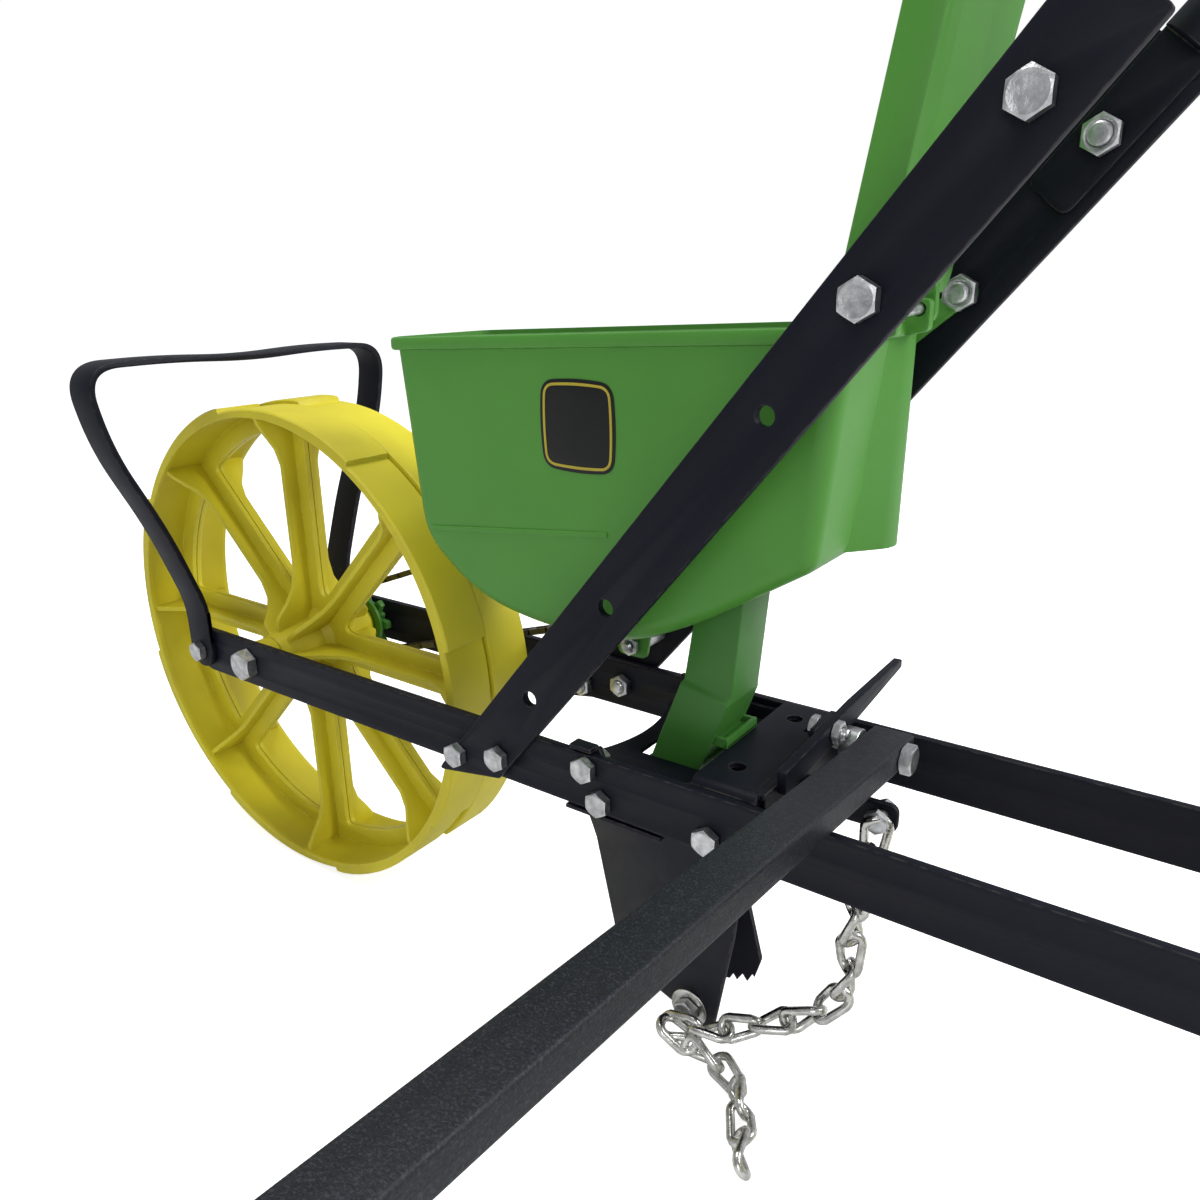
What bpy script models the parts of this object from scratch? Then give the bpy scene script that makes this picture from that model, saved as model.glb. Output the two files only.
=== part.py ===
"""A walk-behind corn planter, built as separate pieces at real size.

Working frame while the pieces are made: the front axle's centre is the zero point, +X is the way the
planter travels, +Y is the operator's left and +Z is up. At the end everything hangs from one empty,
which sets the planter down with the middle of its bounding box over the world's zero point and the
wheels on Z = 0. Sizes are in millimetres here and are turned into metres where meshes are made.
"""

import math

import bmesh
import bpy
from mathutils import Matrix, Vector

MM = 0.001

# Driving dimensions, in millimetres.
GAP = 0.3                      # between faces that touch on the real planter
HOLE_ROOM = 0.6                # radial room round a bolt

BAR_WIDTH = 31.75              # 1 1/4 in flat bar, used for the side bars and the handles
BAR_THICK = 4.76               # 3/16 in
BAR_OUTER_Y = 60.24            # outer face of each side bar
BAR_FRONT_X = 62.0
BAR_REAR_X = -735.0
BAR_INNER_Y = BAR_OUTER_Y - BAR_THICK

WHEEL_R = 174.0
WHEEL_WIDTH = 70.0
RIM_THICK = 4.0
LIP_RISE = 3.5                 # height of each sawtooth lip on the tread
SPOKES = 8
SPOKE_WIDTH = 23.0
SPOKE_WEB = 3.5
HUB_R = 21.0
HUB_TIP_R = 13.5
HUB_HALF = 41.0
RIB_THICK = 3.5
TREAD_STEPS = 6                # flats on the tread for each spoke
RIB_LOW_Y = 17.0               # depth of a spoke rib along the middle of the spoke
AXLE_ROOM = 0.35               # radial room of a wheel on its axle
NEAR_LIP_TURN = math.radians(78)
FAR_LIP_TURN = math.radians(47.25)
AXLE_R = 6.35                  # 1/2 in bolt

PRESS_R = 95.0
PRESS_WIDTH = 58.0
PRESS_X = -690.0
PRESS_Z = PRESS_R - WHEEL_R
HANGER_WIDTH = 38.0
HANGER_THICK = 4.76

ARCH_X = 50.5
ARCH_WIDTH = 25.0
ARCH_THICK = 4.0
ARCH_TOP_Z = 203.0

PITCH = 15.875                 # drive chain, 5/8 in
DRIVE_TEETH = 8
PLATE_TEETH = 12
CHAIN_LINKS = 50
CHAIN_Y = -47.5
CHAIN_WIDTH = 8.0
CHAIN_DEPTH = 9.0
SPROCKET_WIDTH = 4.4
SHAFT_X = -300.0
SHAFT_R = 5.0
SEED_PLATE_R = 27.0
SEED_PLATE_THICK = 8.0
SEED_CELLS = 12
SEED_PLATE_ROOM = 5.0          # from the hopper's far wall

HOPPER_WALL = 2.5
HOPPER_RIM_Y = 38.5            # half width at the rim, without its lip
HOPPER_FOOT_Y = 35.5           # half width at the bottom
HOPPER_LIP = 3.0
HOPPER_FRONT = (-146.0, 221.0)
HOPPER_REAR = (-412.0, 231.0)
HOPPER_BELLY = ((-156, 108), (-194, 77), (-246, 67), (-299, 69), (-338, 87), (-400, 126))
OUTLET_X = (-354.0, -335.0)
OUTLET_Y = 15.0

LID_HALF = 43.5
LID_THICK = 2.0
LID_SKIRT = 17.0
LID_OPEN = math.radians(102.4)  # from closed to leaning back
LID_LENGTH = 287.0
LID_PIVOT = (-419.5, 235.5)
PIN_R = 2.5

HANDLE_FOOT = (-225.7, 0.0)     # where the handle's centre line meets the side bar's
HANDLE_RISE = math.radians(50.4)
HANDLE_LENGTH = 430.0
HANDLE_SPLAY = 0.0              # outward drift per unit of length above the bend
HANDLE_BEND = 28.0
HANDLE_HOLES = (53.0, 131.2, 255.7)
EAR_BOLT_S = 313.5              # bolt through the hopper's ears, along the handle
LAP_BOLT_S = 392.6              # bolt that joins the upper handle
TUBE_R = 11.1                   # 7/8 in upper handle tube
TUBE_TOP_Z = 640.0
GRIP_R = 17.0
GRIP_LENGTH = 125.0

BOLT_5_16 = (3.97, 12.7, 5.4)   # shank radius, head across flats, head height
BOLT_3_8 = (4.76, 14.3, 6.2)
BOLT_1_2 = (AXLE_R, 19.0, 8.0)
BOLT_1_4 = (3.17, 11.1, 4.2)

SHEET = 3.0                     # bracket and shoe sheet
BRACKET_Y = BAR_INNER_Y - 0.4   # outer face of the bracket's side plates
BRACKET_FRONT_X = -281.0
BRACKET_REAR_X = -387.0
BRACKET_LOW_Z = -17.0
DECK_Z = 19.6
DECK_FRONT_X = -352.0
DECK_HOLE = (-366.0, 33.0, 4.5)
FLANGE_TOP_Z = 31.0
FLANGE_LOW_Z = -13.0

ARM_X = (-427.0, -405.0)
ARM_DEEP = 15.0
ARM_WALL = 1.6
ARM_PIVOT_Y = -31.0
ARM_TILT = math.radians(6.0)
ARM_ROOT = 17.0                 # from the pivot to the arm's short end
ARM_LENGTH = 740.0              # from the pivot to the arm's long end
ROD_R = 5.0
ROD_BACK = 18.0                 # from the arm's long end to the marker rod
STOP_WIDTH = 12.7
STOP_TILT = math.radians(3.0)
STOP_THICK = 5.0
STOP_Y = (-118.0, 40.0)

CHAIN_TUBE_R = 4.0

HANDLE_DIR = Vector((-math.cos(HANDLE_RISE), 0.0, math.sin(HANDLE_RISE)))
HANDLE_SIDE = Vector((math.sin(HANDLE_RISE), 0.0, math.cos(HANDLE_RISE)))
HANDLE_IN_Y = BAR_OUTER_Y + GAP
DRIVE_R = PITCH / 2 / math.sin(math.pi / DRIVE_TEETH)
DRIVEN_R = PITCH / 2 / math.sin(math.pi / PLATE_TEETH)


def centre_distance():
    """The distance between two sprockets that a chain of CHAIN_LINKS links fits."""
    straight = CHAIN_LINKS - (DRIVE_TEETH + PLATE_TEETH) / 2
    wrap = ((PLATE_TEETH - DRIVE_TEETH) / (2 * math.pi)) ** 2
    return PITCH / 4 * (straight + math.sqrt(straight**2 - 8 * wrap))


SHAFT_Z = math.sqrt(centre_distance() ** 2 - SHAFT_X**2)
ARM_PIVOT_Z = (
    BAR_WIDTH / 2 + GAP + ARM_DEEP / 2 / math.cos(ARM_TILT)
    - (BAR_OUTER_Y - ARM_PIVOT_Y) * math.tan(ARM_TILT) + 0.5
)

# ---------------------------------------------------------------- scene and materials

for old in list(bpy.data.objects):
    bpy.data.objects.remove(old, do_unlink=True)

planter = bpy.data.collections.new("corn_planter")
tools = bpy.data.collections.new("cutters")
for group in (planter, tools):
    bpy.context.scene.collection.children.link(group)

root = bpy.data.objects.new("planter_root", None)
planter.objects.link(root)


def material(name, colour, rough, metal=0.0):
    made = bpy.data.materials.new(name)
    made.use_nodes = True
    shader = made.node_tree.nodes["Principled BSDF"]
    shader.inputs["Base Color"].default_value = (*colour, 1.0)
    shader.inputs["Roughness"].default_value = rough
    shader.inputs["Metallic"].default_value = metal
    made.diffuse_color = (*colour, 1.0)
    return made


GREEN = material("green_enamel", (0.09, 0.30, 0.06), 0.38)
YELLOW = material("yellow_enamel", (0.80, 0.72, 0.05), 0.42)
BLACK = material("black_powder_coat", (0.014, 0.015, 0.018), 0.48)
ZINC = material("zinc_plate", (0.66, 0.67, 0.66), 0.33, 1.0)
STEEL = material("dark_steel", (0.12, 0.12, 0.12), 0.45, 1.0)
CREAM = material("seed_plate_plastic", (0.60, 0.55, 0.42), 0.5)
RUBBER = material("black_rubber", (0.015, 0.015, 0.015), 0.8)

# ---------------------------------------------------------------- mesh helpers


def add_object(name, mesh, finish, parent=root):
    made = bpy.data.objects.new(name, mesh)
    made.data.materials.clear()
    made.data.materials.append(finish)
    planter.objects.link(made)
    made.parent = parent
    return made


def as_mesh(obj, name, weld=True):
    """The evaluated mesh of an object, in the object's parent space; weld closes a curve's loose caps."""
    bpy.context.view_layer.update()
    graph = bpy.context.evaluated_depsgraph_get()
    mesh = bpy.data.meshes.new_from_object(obj.evaluated_get(graph))
    mesh.name = name
    bm = bmesh.new()
    bm.from_mesh(mesh)
    if weld:
        bmesh.ops.remove_doubles(bm, verts=bm.verts, dist=1e-6)
    bm.transform(obj.matrix_basis)
    if obj.matrix_basis.determinant() < 0:
        bmesh.ops.reverse_faces(bm, faces=bm.faces)
    bm.to_mesh(mesh)
    bm.free()
    return mesh


def finished(obj, name, finish):
    """Replaces a working object with a plain one that holds its evaluated mesh."""
    mesh = as_mesh(obj, name)
    old = obj.data
    bpy.data.objects.remove(obj, do_unlink=True)
    if isinstance(old, bpy.types.Curve):
        bpy.data.curves.remove(old)
    return add_object(name, mesh, finish)


def working(name, data):
    made = bpy.data.objects.new(name, data)
    tools.objects.link(made)
    made.hide_render = True
    made.display_type = "WIRE"
    return made


def round_outline(centre, radius, count=20, turn=0.0):
    step = 2 * math.pi / count
    return [
        (centre[0] + radius * math.cos(turn + i * step), centre[1] + radius * math.sin(turn + i * step))
        for i in range(count)
    ]


def rounded(points, radius, steps=5):
    """A polygon with every corner turned into an arc, no wider than its neighbours allow."""
    made = []
    count = len(points)
    for i, corner in enumerate(points):
        here = Vector(corner)
        before = Vector(points[i - 1]) - here
        after = Vector(points[(i + 1) % count]) - here
        half = before.angle(after) / 2
        reach = min(radius / math.tan(half), before.length * 0.49, after.length * 0.49)
        start = here + before.normalized() * reach
        end = here + after.normalized() * reach
        for k in range(steps + 1):
            t = k / steps
            made.append(tuple(start * (1 - t) ** 2 + here * 2 * t * (1 - t) + end * t**2))
    return made


PLANES = {
    "XZ": Matrix(((1, 0, 0, 0), (0, 0, 1, 0), (0, 1, 0, 0), (0, 0, 0, 1))),
    "YZ": Matrix(((0, 0, 1, 0), (1, 0, 0, 0), (0, 1, 0, 0), (0, 0, 0, 1))),
    "XY": Matrix.Identity(4),
}


def plate(name, outline, thick, plane, middle, finish=None, holes=()):
    """A flat outline with holes, in a plane, thick/2 each side of middle on the plane's normal."""
    curve = bpy.data.curves.new(name, "CURVE")
    curve.dimensions = "2D"
    curve.fill_mode = "BOTH"
    curve.extrude = thick / 2 * MM
    for points in (outline, *holes):
        spline = curve.splines.new("POLY")
        spline.points.add(len(points) - 1)
        for point, (u, v) in zip(spline.points, points):
            point.co = (u * MM, v * MM, 0, 1)
        spline.use_cyclic_u = True
    made = working(name + "_work", curve)
    made.matrix_basis = PLANES[plane] @ Matrix.Translation((0, 0, middle * MM))
    mesh = as_mesh(made, name)
    face_outwards(mesh)
    bpy.data.objects.remove(made, do_unlink=True)
    bpy.data.curves.remove(curve)
    return add_object(name, mesh, finish) if finish else working(name, mesh)


def face_outwards(mesh):
    bm = bmesh.new()
    bm.from_mesh(mesh)
    bmesh.ops.recalc_face_normals(bm, faces=bm.faces)
    if bm.calc_volume(signed=True) < 0:
        bmesh.ops.reverse_faces(bm, faces=bm.faces)
    bm.to_mesh(mesh)
    bm.free()


def box(name, low, high, finish=None):
    mesh = bpy.data.meshes.new(name)
    bm = bmesh.new()
    bmesh.ops.create_cube(bm, size=1.0)
    low, high = Vector(low) * MM, Vector(high) * MM
    bmesh.ops.scale(bm, vec=high - low, verts=bm.verts)
    bmesh.ops.translate(bm, vec=(low + high) / 2, verts=bm.verts)
    bm.to_mesh(mesh)
    bm.free()
    return add_object(name, mesh, finish) if finish else working(name, mesh)


def rod(name, start, end, radius, sides=16, finish=None, turn=0.0):
    """A straight round (or, with six sides, hexagonal) bar between two points."""
    start, end = Vector(start) * MM, Vector(end) * MM
    mesh = bpy.data.meshes.new(name)
    bm = bmesh.new()
    length = (end - start).length
    bmesh.ops.create_cone(
        bm, cap_ends=True, segments=sides, radius1=radius * MM, radius2=radius * MM, depth=length
    )
    aim = (end - start).to_track_quat("Z", "Y").to_matrix().to_4x4()
    bm.transform(Matrix.Translation((start + end) / 2) @ aim @ Matrix.Rotation(turn, 4, "Z"))
    bm.to_mesh(mesh)
    bm.free()
    return add_object(name, mesh, finish) if finish else working(name, mesh)


def combine(name, base, others, operation, finish, solver="EXACT"):
    """Joins the others to the base, or cuts them from it, and leaves one plain object."""
    for other in others:
        step = base.modifiers.new(other.name, "BOOLEAN")
        step.operation = operation
        step.object = other
        step.solver = solver
    mesh = as_mesh(base, name, weld=False)
    for used in (base, *others):
        bpy.data.objects.remove(used, do_unlink=True)
    return add_object(name, mesh, finish) if finish else working(name, mesh)


def mirrored(source, name, finish):
    """The same piece on the other side of the planter."""
    mesh = source.data.copy()
    bm = bmesh.new()
    bm.from_mesh(mesh)
    bm.transform(Matrix.Scale(-1, 4, (0, 1, 0)))
    bmesh.ops.reverse_faces(bm, faces=bm.faces)
    bm.to_mesh(mesh)
    bm.free()
    mesh.name = name
    return add_object(name, mesh, finish)


def turned(name, profile, place, steps=48, finish=None):
    """A closed profile of (radius, along Y) points, turned about a line along Y through place."""
    mesh = bpy.data.meshes.new(name)
    points = [(r * MM, 0.0, -y * MM) for r, y in profile]
    mesh.from_pydata(points, [(i, (i + 1) % len(points)) for i in range(len(points))], [])
    made = working(name + "_work", mesh)
    screw = made.modifiers.new("turn", "SCREW")
    screw.axis = "Z"
    screw.steps = screw.render_steps = steps
    screw.use_merge_vertices = True
    screw.merge_threshold = 1e-6
    made.rotation_euler = (math.pi / 2, 0, 0)
    made.location = Vector(place) * MM
    bpy.context.view_layer.update()
    shape = as_mesh(made, name)
    bpy.data.objects.remove(made, do_unlink=True)
    face_outwards(shape)
    return add_object(name, shape, finish) if finish else working(name, shape)


def bolt(name, size, start, end, nut_at=None, finish=ZINC, nut=True):
    """A hex-head bolt: the head lies past start, the shank runs to end, with its nut at nut_at."""
    radius, flats, high = size
    start, end = Vector(start), Vector(end)
    along = (end - start).normalized()
    shank = rod(name + "_shank", start - along * high / 2, end, radius, 12)
    head = rod(name + "_head", start - along * high, start, flats / math.sqrt(3), 6)
    pieces = [head]
    if nut:
        seat = Vector(nut_at)
        pieces.append(rod(name + "_nut", seat, seat + along * high, flats / math.sqrt(3), 6))
    return combine(name, shank, pieces, "UNION", finish)


def on_handle(s, across=0.0):
    """(x, z) of a point on the handle's face, s along its centre line and across it."""
    spot = Vector((HANDLE_FOOT[0], 0, HANDLE_FOOT[1])) + HANDLE_DIR * s + HANDLE_SIDE * across
    return spot.x, spot.z


def handle_y(s):
    """Inner face of the handle at s along it."""
    return HANDLE_IN_Y + max(0.0, s - HANDLE_BEND) * HANDLE_SPLAY


def strap_outline(path, thick):
    """The outline of a bent strap: the path offset to each side by half its thickness."""
    path = [Vector(p) for p in path]
    sides = ([], [])
    for i, here in enumerate(path):
        before = path[max(i - 1, 0)]
        after = path[min(i + 1, len(path) - 1)]
        along = (after - before).normalized()
        normal = Vector((-along.y, along.x))
        sides[0].append(tuple(here + normal * thick / 2))
        sides[1].append(tuple(here - normal * thick / 2))
    return sides[0] + sides[1][::-1]


def fillet_path(points, radius, steps=6):
    """An open path with its inner corners rounded."""
    made = [tuple(points[0])]
    for before, here, after in zip(points, points[1:], points[2:]):
        here, back, ahead = Vector(here), Vector(before) - Vector(here), Vector(after) - Vector(here)
        reach = min(radius, back.length * 0.49, ahead.length * 0.49)
        start, end = here + back.normalized() * reach, here + ahead.normalized() * reach
        for k in range(steps + 1):
            t = k / steps
            made.append(tuple(start * (1 - t) ** 2 + here * 2 * t * (1 - t) + end * t**2))
    made.append(tuple(points[-1]))
    return made


# ---------------------------------------------------------------- bolt places on the side bars

AXLE_HOLE = (0.0, 0.0)
ARCH_HOLE = (ARCH_X, 0.0)
HANDLE_BOLTS = ((-204.4, -7.0), (-235.8, 0.0))
BRACKET_BOLTS = ((-292.3, 8.3), (-301.6, -8.6), (-365.5, -7.7))
HANGER_BOLTS = ((PRESS_X, 8.0), (PRESS_X, -8.0))


def side_bars():
    half = BAR_WIDTH / 2
    nose = [
        (BAR_FRONT_X - half + half * math.cos(a), half * math.sin(a))
        for a in (math.radians(90 - 15 * k) for k in range(13))
    ]
    outline = [(BAR_REAR_X, -half), (BAR_REAR_X, half)] + nose
    holes = [round_outline(AXLE_HOLE, AXLE_R + HOLE_ROOM, 20)]
    for place in (ARCH_HOLE, *HANDLE_BOLTS, *BRACKET_BOLTS, *HANGER_BOLTS):
        holes.append(round_outline(place, BOLT_5_16[0] + HOLE_ROOM, 12))
    middle = BAR_OUTER_Y - BAR_THICK / 2
    near = plate("near_side_bar", outline, BAR_THICK, "XZ", middle, BLACK, holes)
    mirrored(near, "far_side_bar", BLACK)


def arch_path():
    """Half of the arch's centre line, from its foot to the middle of its top."""
    foot = BAR_OUTER_Y + GAP + ARCH_THICK / 2
    return (
        (foot, -12.0), (foot, 34.0), (82.0, 92.0), (110.0, 152.0), (119.0, ARCH_TOP_Z),
        (60.0, ARCH_TOP_Z + 1.0), (0.0, ARCH_TOP_Z - 2.0),
    )


def wheel_arch():
    half = arch_path()
    whole = [*half, *((-y, z) for y, z in half[-2::-1])]
    outline = strap_outline(fillet_path(whole, 24.0), ARCH_THICK)
    strap = plate("arch_strap", outline, ARCH_WIDTH, "YZ", ARCH_X)
    bore = rod("arch_bore", (ARCH_X, -90, 0), (ARCH_X, 90, 0), BOLT_5_16[0] + HOLE_ROOM, 12)
    combine("wheel_arch", strap, [bore], "DIFFERENCE", BLACK)
    for side, word in ((1, "near"), (-1, "far")):
        outside = BAR_OUTER_Y + 2 * GAP + ARCH_THICK
        bolt(
            word + "_arch_bolt", BOLT_5_16, (ARCH_X, side * outside, 0),
            (ARCH_X, side * (BAR_INNER_Y - 9), 0), (ARCH_X, side * (BAR_INNER_Y - GAP), 0),
        )


# ---------------------------------------------------------------- front wheel


def sawtooth_radius(angle, phase):
    """Tread radius at an angle: it climbs over each eighth of a turn, then steps back down."""
    share = ((angle - phase) / (2 * math.pi) * SPOKES) % 1.0
    return WHEEL_R - LIP_RISE * (1.0 - min(1.0, share / 0.9))


def wheel_half(name, phase):
    """One moulded half of the wheel, on the near side: rim with lips, web, spoke ribs and hub boss."""
    inner_y, outer_y = GAP / 2, WHEEL_WIDTH / 2
    middle = (inner_y + outer_y) / 2
    count = SPOKES * TREAD_STEPS
    tread = []
    for i in range(count):
        angle = i * 2 * math.pi / count
        r = sawtooth_radius(angle + 1e-4, phase)
        tread.append((r * math.cos(angle), r * math.sin(angle)))
    bore_r = WHEEL_R - LIP_RISE - RIM_THICK
    rim = plate(
        name + "_rim", tread, outer_y - inner_y, "XZ", middle,
        holes=[round_outline((0, 0), bore_r, 40)],
    )
    windows = [spoke_window(k, bore_r) for k in range(SPOKES)]
    web = plate(
        name + "_web", round_outline((0, 0), bore_r + 1.5, 40), SPOKE_WEB, "XZ",
        inner_y + 0.4 + SPOKE_WEB / 2, holes=windows,
    )
    boss_in = inner_y + 0.2
    boss = turned(
        name + "_boss",
        [(HUB_TIP_R, HUB_HALF), (HUB_R, boss_in), (3.0, boss_in), (3.0, HUB_HALF)], (0, 0, 0), 20,
    )
    ribs = []
    for k in range(SPOKES):
        rib = box(
            f"{name}_rib{k}", (5.0, inner_y + 0.8, -RIB_THICK / 2), (bore_r + 1.5, outer_y - 3, RIB_THICK / 2)
        )
        narrow_rib(rib, bore_r)
        rib.data.transform(Matrix.Rotation(k * 2 * math.pi / SPOKES, 4, "Y"))
        ribs.append(rib)
    body = combine(name + "_body", rim, [web, boss, *ribs], "UNION", None, "MANIFOLD")
    bore = rod(name + "_bore", (0, -60, 0), (0, 60, 0), AXLE_R + AXLE_ROOM, 16)
    return combine(name, body, [bore], "DIFFERENCE", YELLOW, "MANIFOLD")


def spoke_window(k, bore_r):
    """The opening between two spokes: narrow at the hub, with a round outer edge."""
    turn = (k + 0.5) * 2 * math.pi / SPOKES
    half_gap = math.pi / SPOKES
    outer, near_hub = bore_r - 14.0, HUB_R + 14.0
    reach = SPOKE_WIDTH / 2 + 1.0
    corners = []
    for sign in (-1, 1):
        edge = turn + sign * half_gap
        along = Vector((math.cos(edge), math.sin(edge)))
        inward = Vector((math.sin(edge), -math.cos(edge))) * sign
        corners.append((along * outer + inward * reach, along * near_hub + inward * reach))
    tip = (corners[0][1] + corners[1][1]) / 2
    arc = [
        (outer * math.cos(turn + f * half_gap), outer * math.sin(turn + f * half_gap))
        for f in (-0.36, 0, 0.36)
    ]
    return rounded([tuple(corners[0][0]), *arc, tuple(corners[1][0]), tuple(tip)], 8.0, 1)


def narrow_rib(rib, bore_r):
    """Lowers the rib along the spoke, so that it is deep only at the hub and at the rim."""
    near_end, far_end = HUB_R + 25, bore_r - 33
    bm = bmesh.new()
    bm.from_mesh(rib.data)
    for x in (near_end + 1, far_end - 1):
        bmesh.ops.bisect_plane(
            bm, geom=bm.verts[:] + bm.edges[:] + bm.faces[:], plane_co=(x * MM, 0, 0),
            plane_no=(1, 0, 0),
        )
    for vert in bm.verts:
        if near_end * MM < vert.co.x < far_end * MM and vert.co.y > 10 * MM:
            vert.co.y = RIB_LOW_Y * MM
    bm.to_mesh(rib.data)
    bm.free()


def toothed_outline(pitch_r, teeth, tip, root_drop, turn=0.0):
    """A chain wheel's outline: a flat-topped lug on each tooth, round seats between them."""
    points = []
    for k in range(teeth):
        middle = turn + k * 2 * math.pi / teeth
        step = 2 * math.pi / teeth
        for share, r in (
            (-0.46, pitch_r - root_drop), (-0.30, pitch_r - root_drop), (-0.13, pitch_r + tip),
            (0.13, pitch_r + tip), (0.30, pitch_r - root_drop),
        ):
            points.append((r * math.cos(middle + share * step), r * math.sin(middle + share * step)))
    return points


def front_wheel():
    wheel_half("near_wheel_half", NEAR_LIP_TURN)
    other = wheel_half("far_wheel_work", FAR_LIP_TURN)
    mirrored(other, "far_wheel_half", YELLOW)
    bpy.data.objects.remove(other, do_unlink=True)
    teeth = plate(
        "drive_teeth", toothed_outline(DRIVE_R, DRIVE_TEETH, 3.0, 4.2), SPROCKET_WIDTH, "XZ", CHAIN_Y
    )
    flange = turned(
        "drive_flange",
        [(18.5, CHAIN_Y + 1.5), (20.5, -HUB_HALF - GAP), (5.0, -HUB_HALF - GAP), (5.0, CHAIN_Y - 3.6),
         (12.5, CHAIN_Y - 3.6), (12.5, CHAIN_Y + 1.5)],
        (0, 0, 0), 24,
    )
    bore = rod("drive_bore", (0, -70, 0), (0, 0, 0), AXLE_R + 0.35, 24)
    body = combine("drive_body", teeth, [flange], "UNION", None)
    combine("hub_sprocket", body, [bore], "DIFFERENCE", GREEN)

    washer_out = BAR_INNER_Y - GAP
    turned(
        "near_hub_spacer",
        [(11.0, washer_out), (11.0, HUB_HALF + GAP), (AXLE_R + 0.35, HUB_HALF + GAP), (AXLE_R + 0.35, washer_out)],
        (0, 0, 0), 20, ZINC,
    )
    far_in = CHAIN_Y - 3.6 - GAP
    turned(
        "far_hub_spacer",
        [(11.0, far_in), (11.0, -washer_out), (AXLE_R + 0.35, -washer_out), (AXLE_R + 0.35, far_in)],
        (0, 0, 0), 20, ZINC,
    )
    outside = BAR_OUTER_Y + GAP
    bolt("axle_bolt", BOLT_1_2, (0, outside, 0), (0, -outside - 13, 0), (0, -outside, 0))


# ---------------------------------------------------------------- handles


def bend_out(mesh, side=1):
    """Cuts the handle at its bend line, then lets the part above drift outwards."""
    bm = bmesh.new()
    bm.from_mesh(mesh)
    foot = Vector((HANDLE_FOOT[0], 0, HANDLE_FOOT[1]))
    bmesh.ops.bisect_plane(
        bm, geom=bm.verts[:] + bm.edges[:] + bm.faces[:],
        plane_co=(foot + HANDLE_DIR * HANDLE_BEND) * MM, plane_no=HANDLE_DIR,
    )
    for vert in bm.verts:
        s = (vert.co / MM - foot).dot(HANDLE_DIR)
        vert.co.y += side * max(0.0, s - HANDLE_BEND) * HANDLE_SPLAY * MM
    bm.to_mesh(mesh)
    bm.free()


def handle_bolt(name, size, s, inner, nut_y, side, finish=ZINC):
    x, z = on_handle(s)
    outside = side * (handle_y(s) + BAR_THICK + GAP + HANDLE_SPLAY * size[1] / 2)
    return bolt(name, size, (x, outside, z), (x, side * inner, z), (x, side * nut_y, z), finish)


def handles():
    half = BAR_WIDTH / 2
    outline = [on_handle(-42.0, half), on_handle(-5.0, -half), on_handle(HANDLE_LENGTH, -half),
               on_handle(HANDLE_LENGTH, half)]
    holes = [round_outline(on_handle(s), 4.25, 14) for s in HANDLE_HOLES]
    holes += [round_outline(on_handle(s), BOLT_3_8[0] + HOLE_ROOM, 14) for s in (EAR_BOLT_S, LAP_BOLT_S)]
    holes += [round_outline(place, BOLT_5_16[0] + HOLE_ROOM, 12) for place in HANDLE_BOLTS]
    near = plate(
        "near_handle", outline, BAR_THICK, "XZ", HANDLE_IN_Y + BAR_THICK / 2, BLACK, holes
    )
    bend_out(near.data)
    mirrored(near, "far_handle", BLACK)
    for side, word in ((1, "near"), (-1, "far")):
        for k, (x, z) in enumerate(HANDLE_BOLTS):
            outside = side * (HANDLE_IN_Y + BAR_THICK + GAP)
            bolt(
                f"{word}_handle_bolt_{k + 1}", BOLT_5_16, (x, outside, z),
                (x, side * (BAR_INNER_Y - 8.5), z), (x, side * (BAR_INNER_Y - GAP), z),
            )
    upper_handles()


def upper_handles():
    """Round upper tubes with flattened tabs that lap inside the lower bars, and rubber grips."""
    s0, s1 = HANDLE_LENGTH - 68.0, HANDLE_LENGTH + 12.0
    top_s = (TUBE_TOP_Z - HANDLE_FOOT[1]) / HANDLE_DIR.z
    tube_y = handle_y(s1) - 4.0
    top_y = handle_y(top_s) + 42.0
    x1, z1 = on_handle(s1 - 10)
    x2, z2 = on_handle((s1 + top_s) / 2)
    x3, z3 = on_handle(top_s)
    grip_end = (x3 - 195.0, top_y + 16.0, z3 + 66.0)
    end = Vector(grip_end)
    along = Vector((-0.92, 0.08, 0.38)).normalized()
    path = smooth_path(
        [(x1, tube_y, z1), (x2, (tube_y + top_y) / 2 - 6, z2), (x3 + 10, top_y - 3, z3 - 14),
         tuple(end - along * (GRIP_LENGTH + 45)), tuple(end - along * (GRIP_LENGTH + 10))], 4,
    ) + [grip_end]
    tube = sweep("tube_work", path, TUBE_R, 3)
    tab_outline = rounded([on_handle(s0, 11), on_handle(s0, -11), on_handle(s1, -11), on_handle(s1, 11)], 3, 2)
    tab_y = handle_y(s0) - GAP
    tab = plate("tab_work", tab_outline, 4.0, "XZ", tab_y - 2.0 - 0.1)
    lean_tab(tab.data, s0)
    body = combine("upper_work", tube, [tab], "UNION", None)
    x, z = on_handle(LAP_BOLT_S)
    bore = rod("upper_bore", (x, 40, z), (x, 100, z), BOLT_3_8[0] + HOLE_ROOM, 14)
    near = combine("near_upper_handle", body, [bore], "DIFFERENCE", BLACK)
    mirrored(near, "far_upper_handle", BLACK)
    inner = handle_y(LAP_BOLT_S) - 4.0 - 2 * GAP - 1.2
    for side, word in ((1, "near"), (-1, "far")):
        handle_bolt(word + "_lap_bolt", BOLT_3_8, LAP_BOLT_S, inner - 9.0, inner - 0.2, side)
    grip = grip_shape("near_grip", end - along * (GRIP_LENGTH - 7), end + along * 7, along)
    mirrored(grip, "far_grip", RUBBER)
    brace(path)


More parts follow.
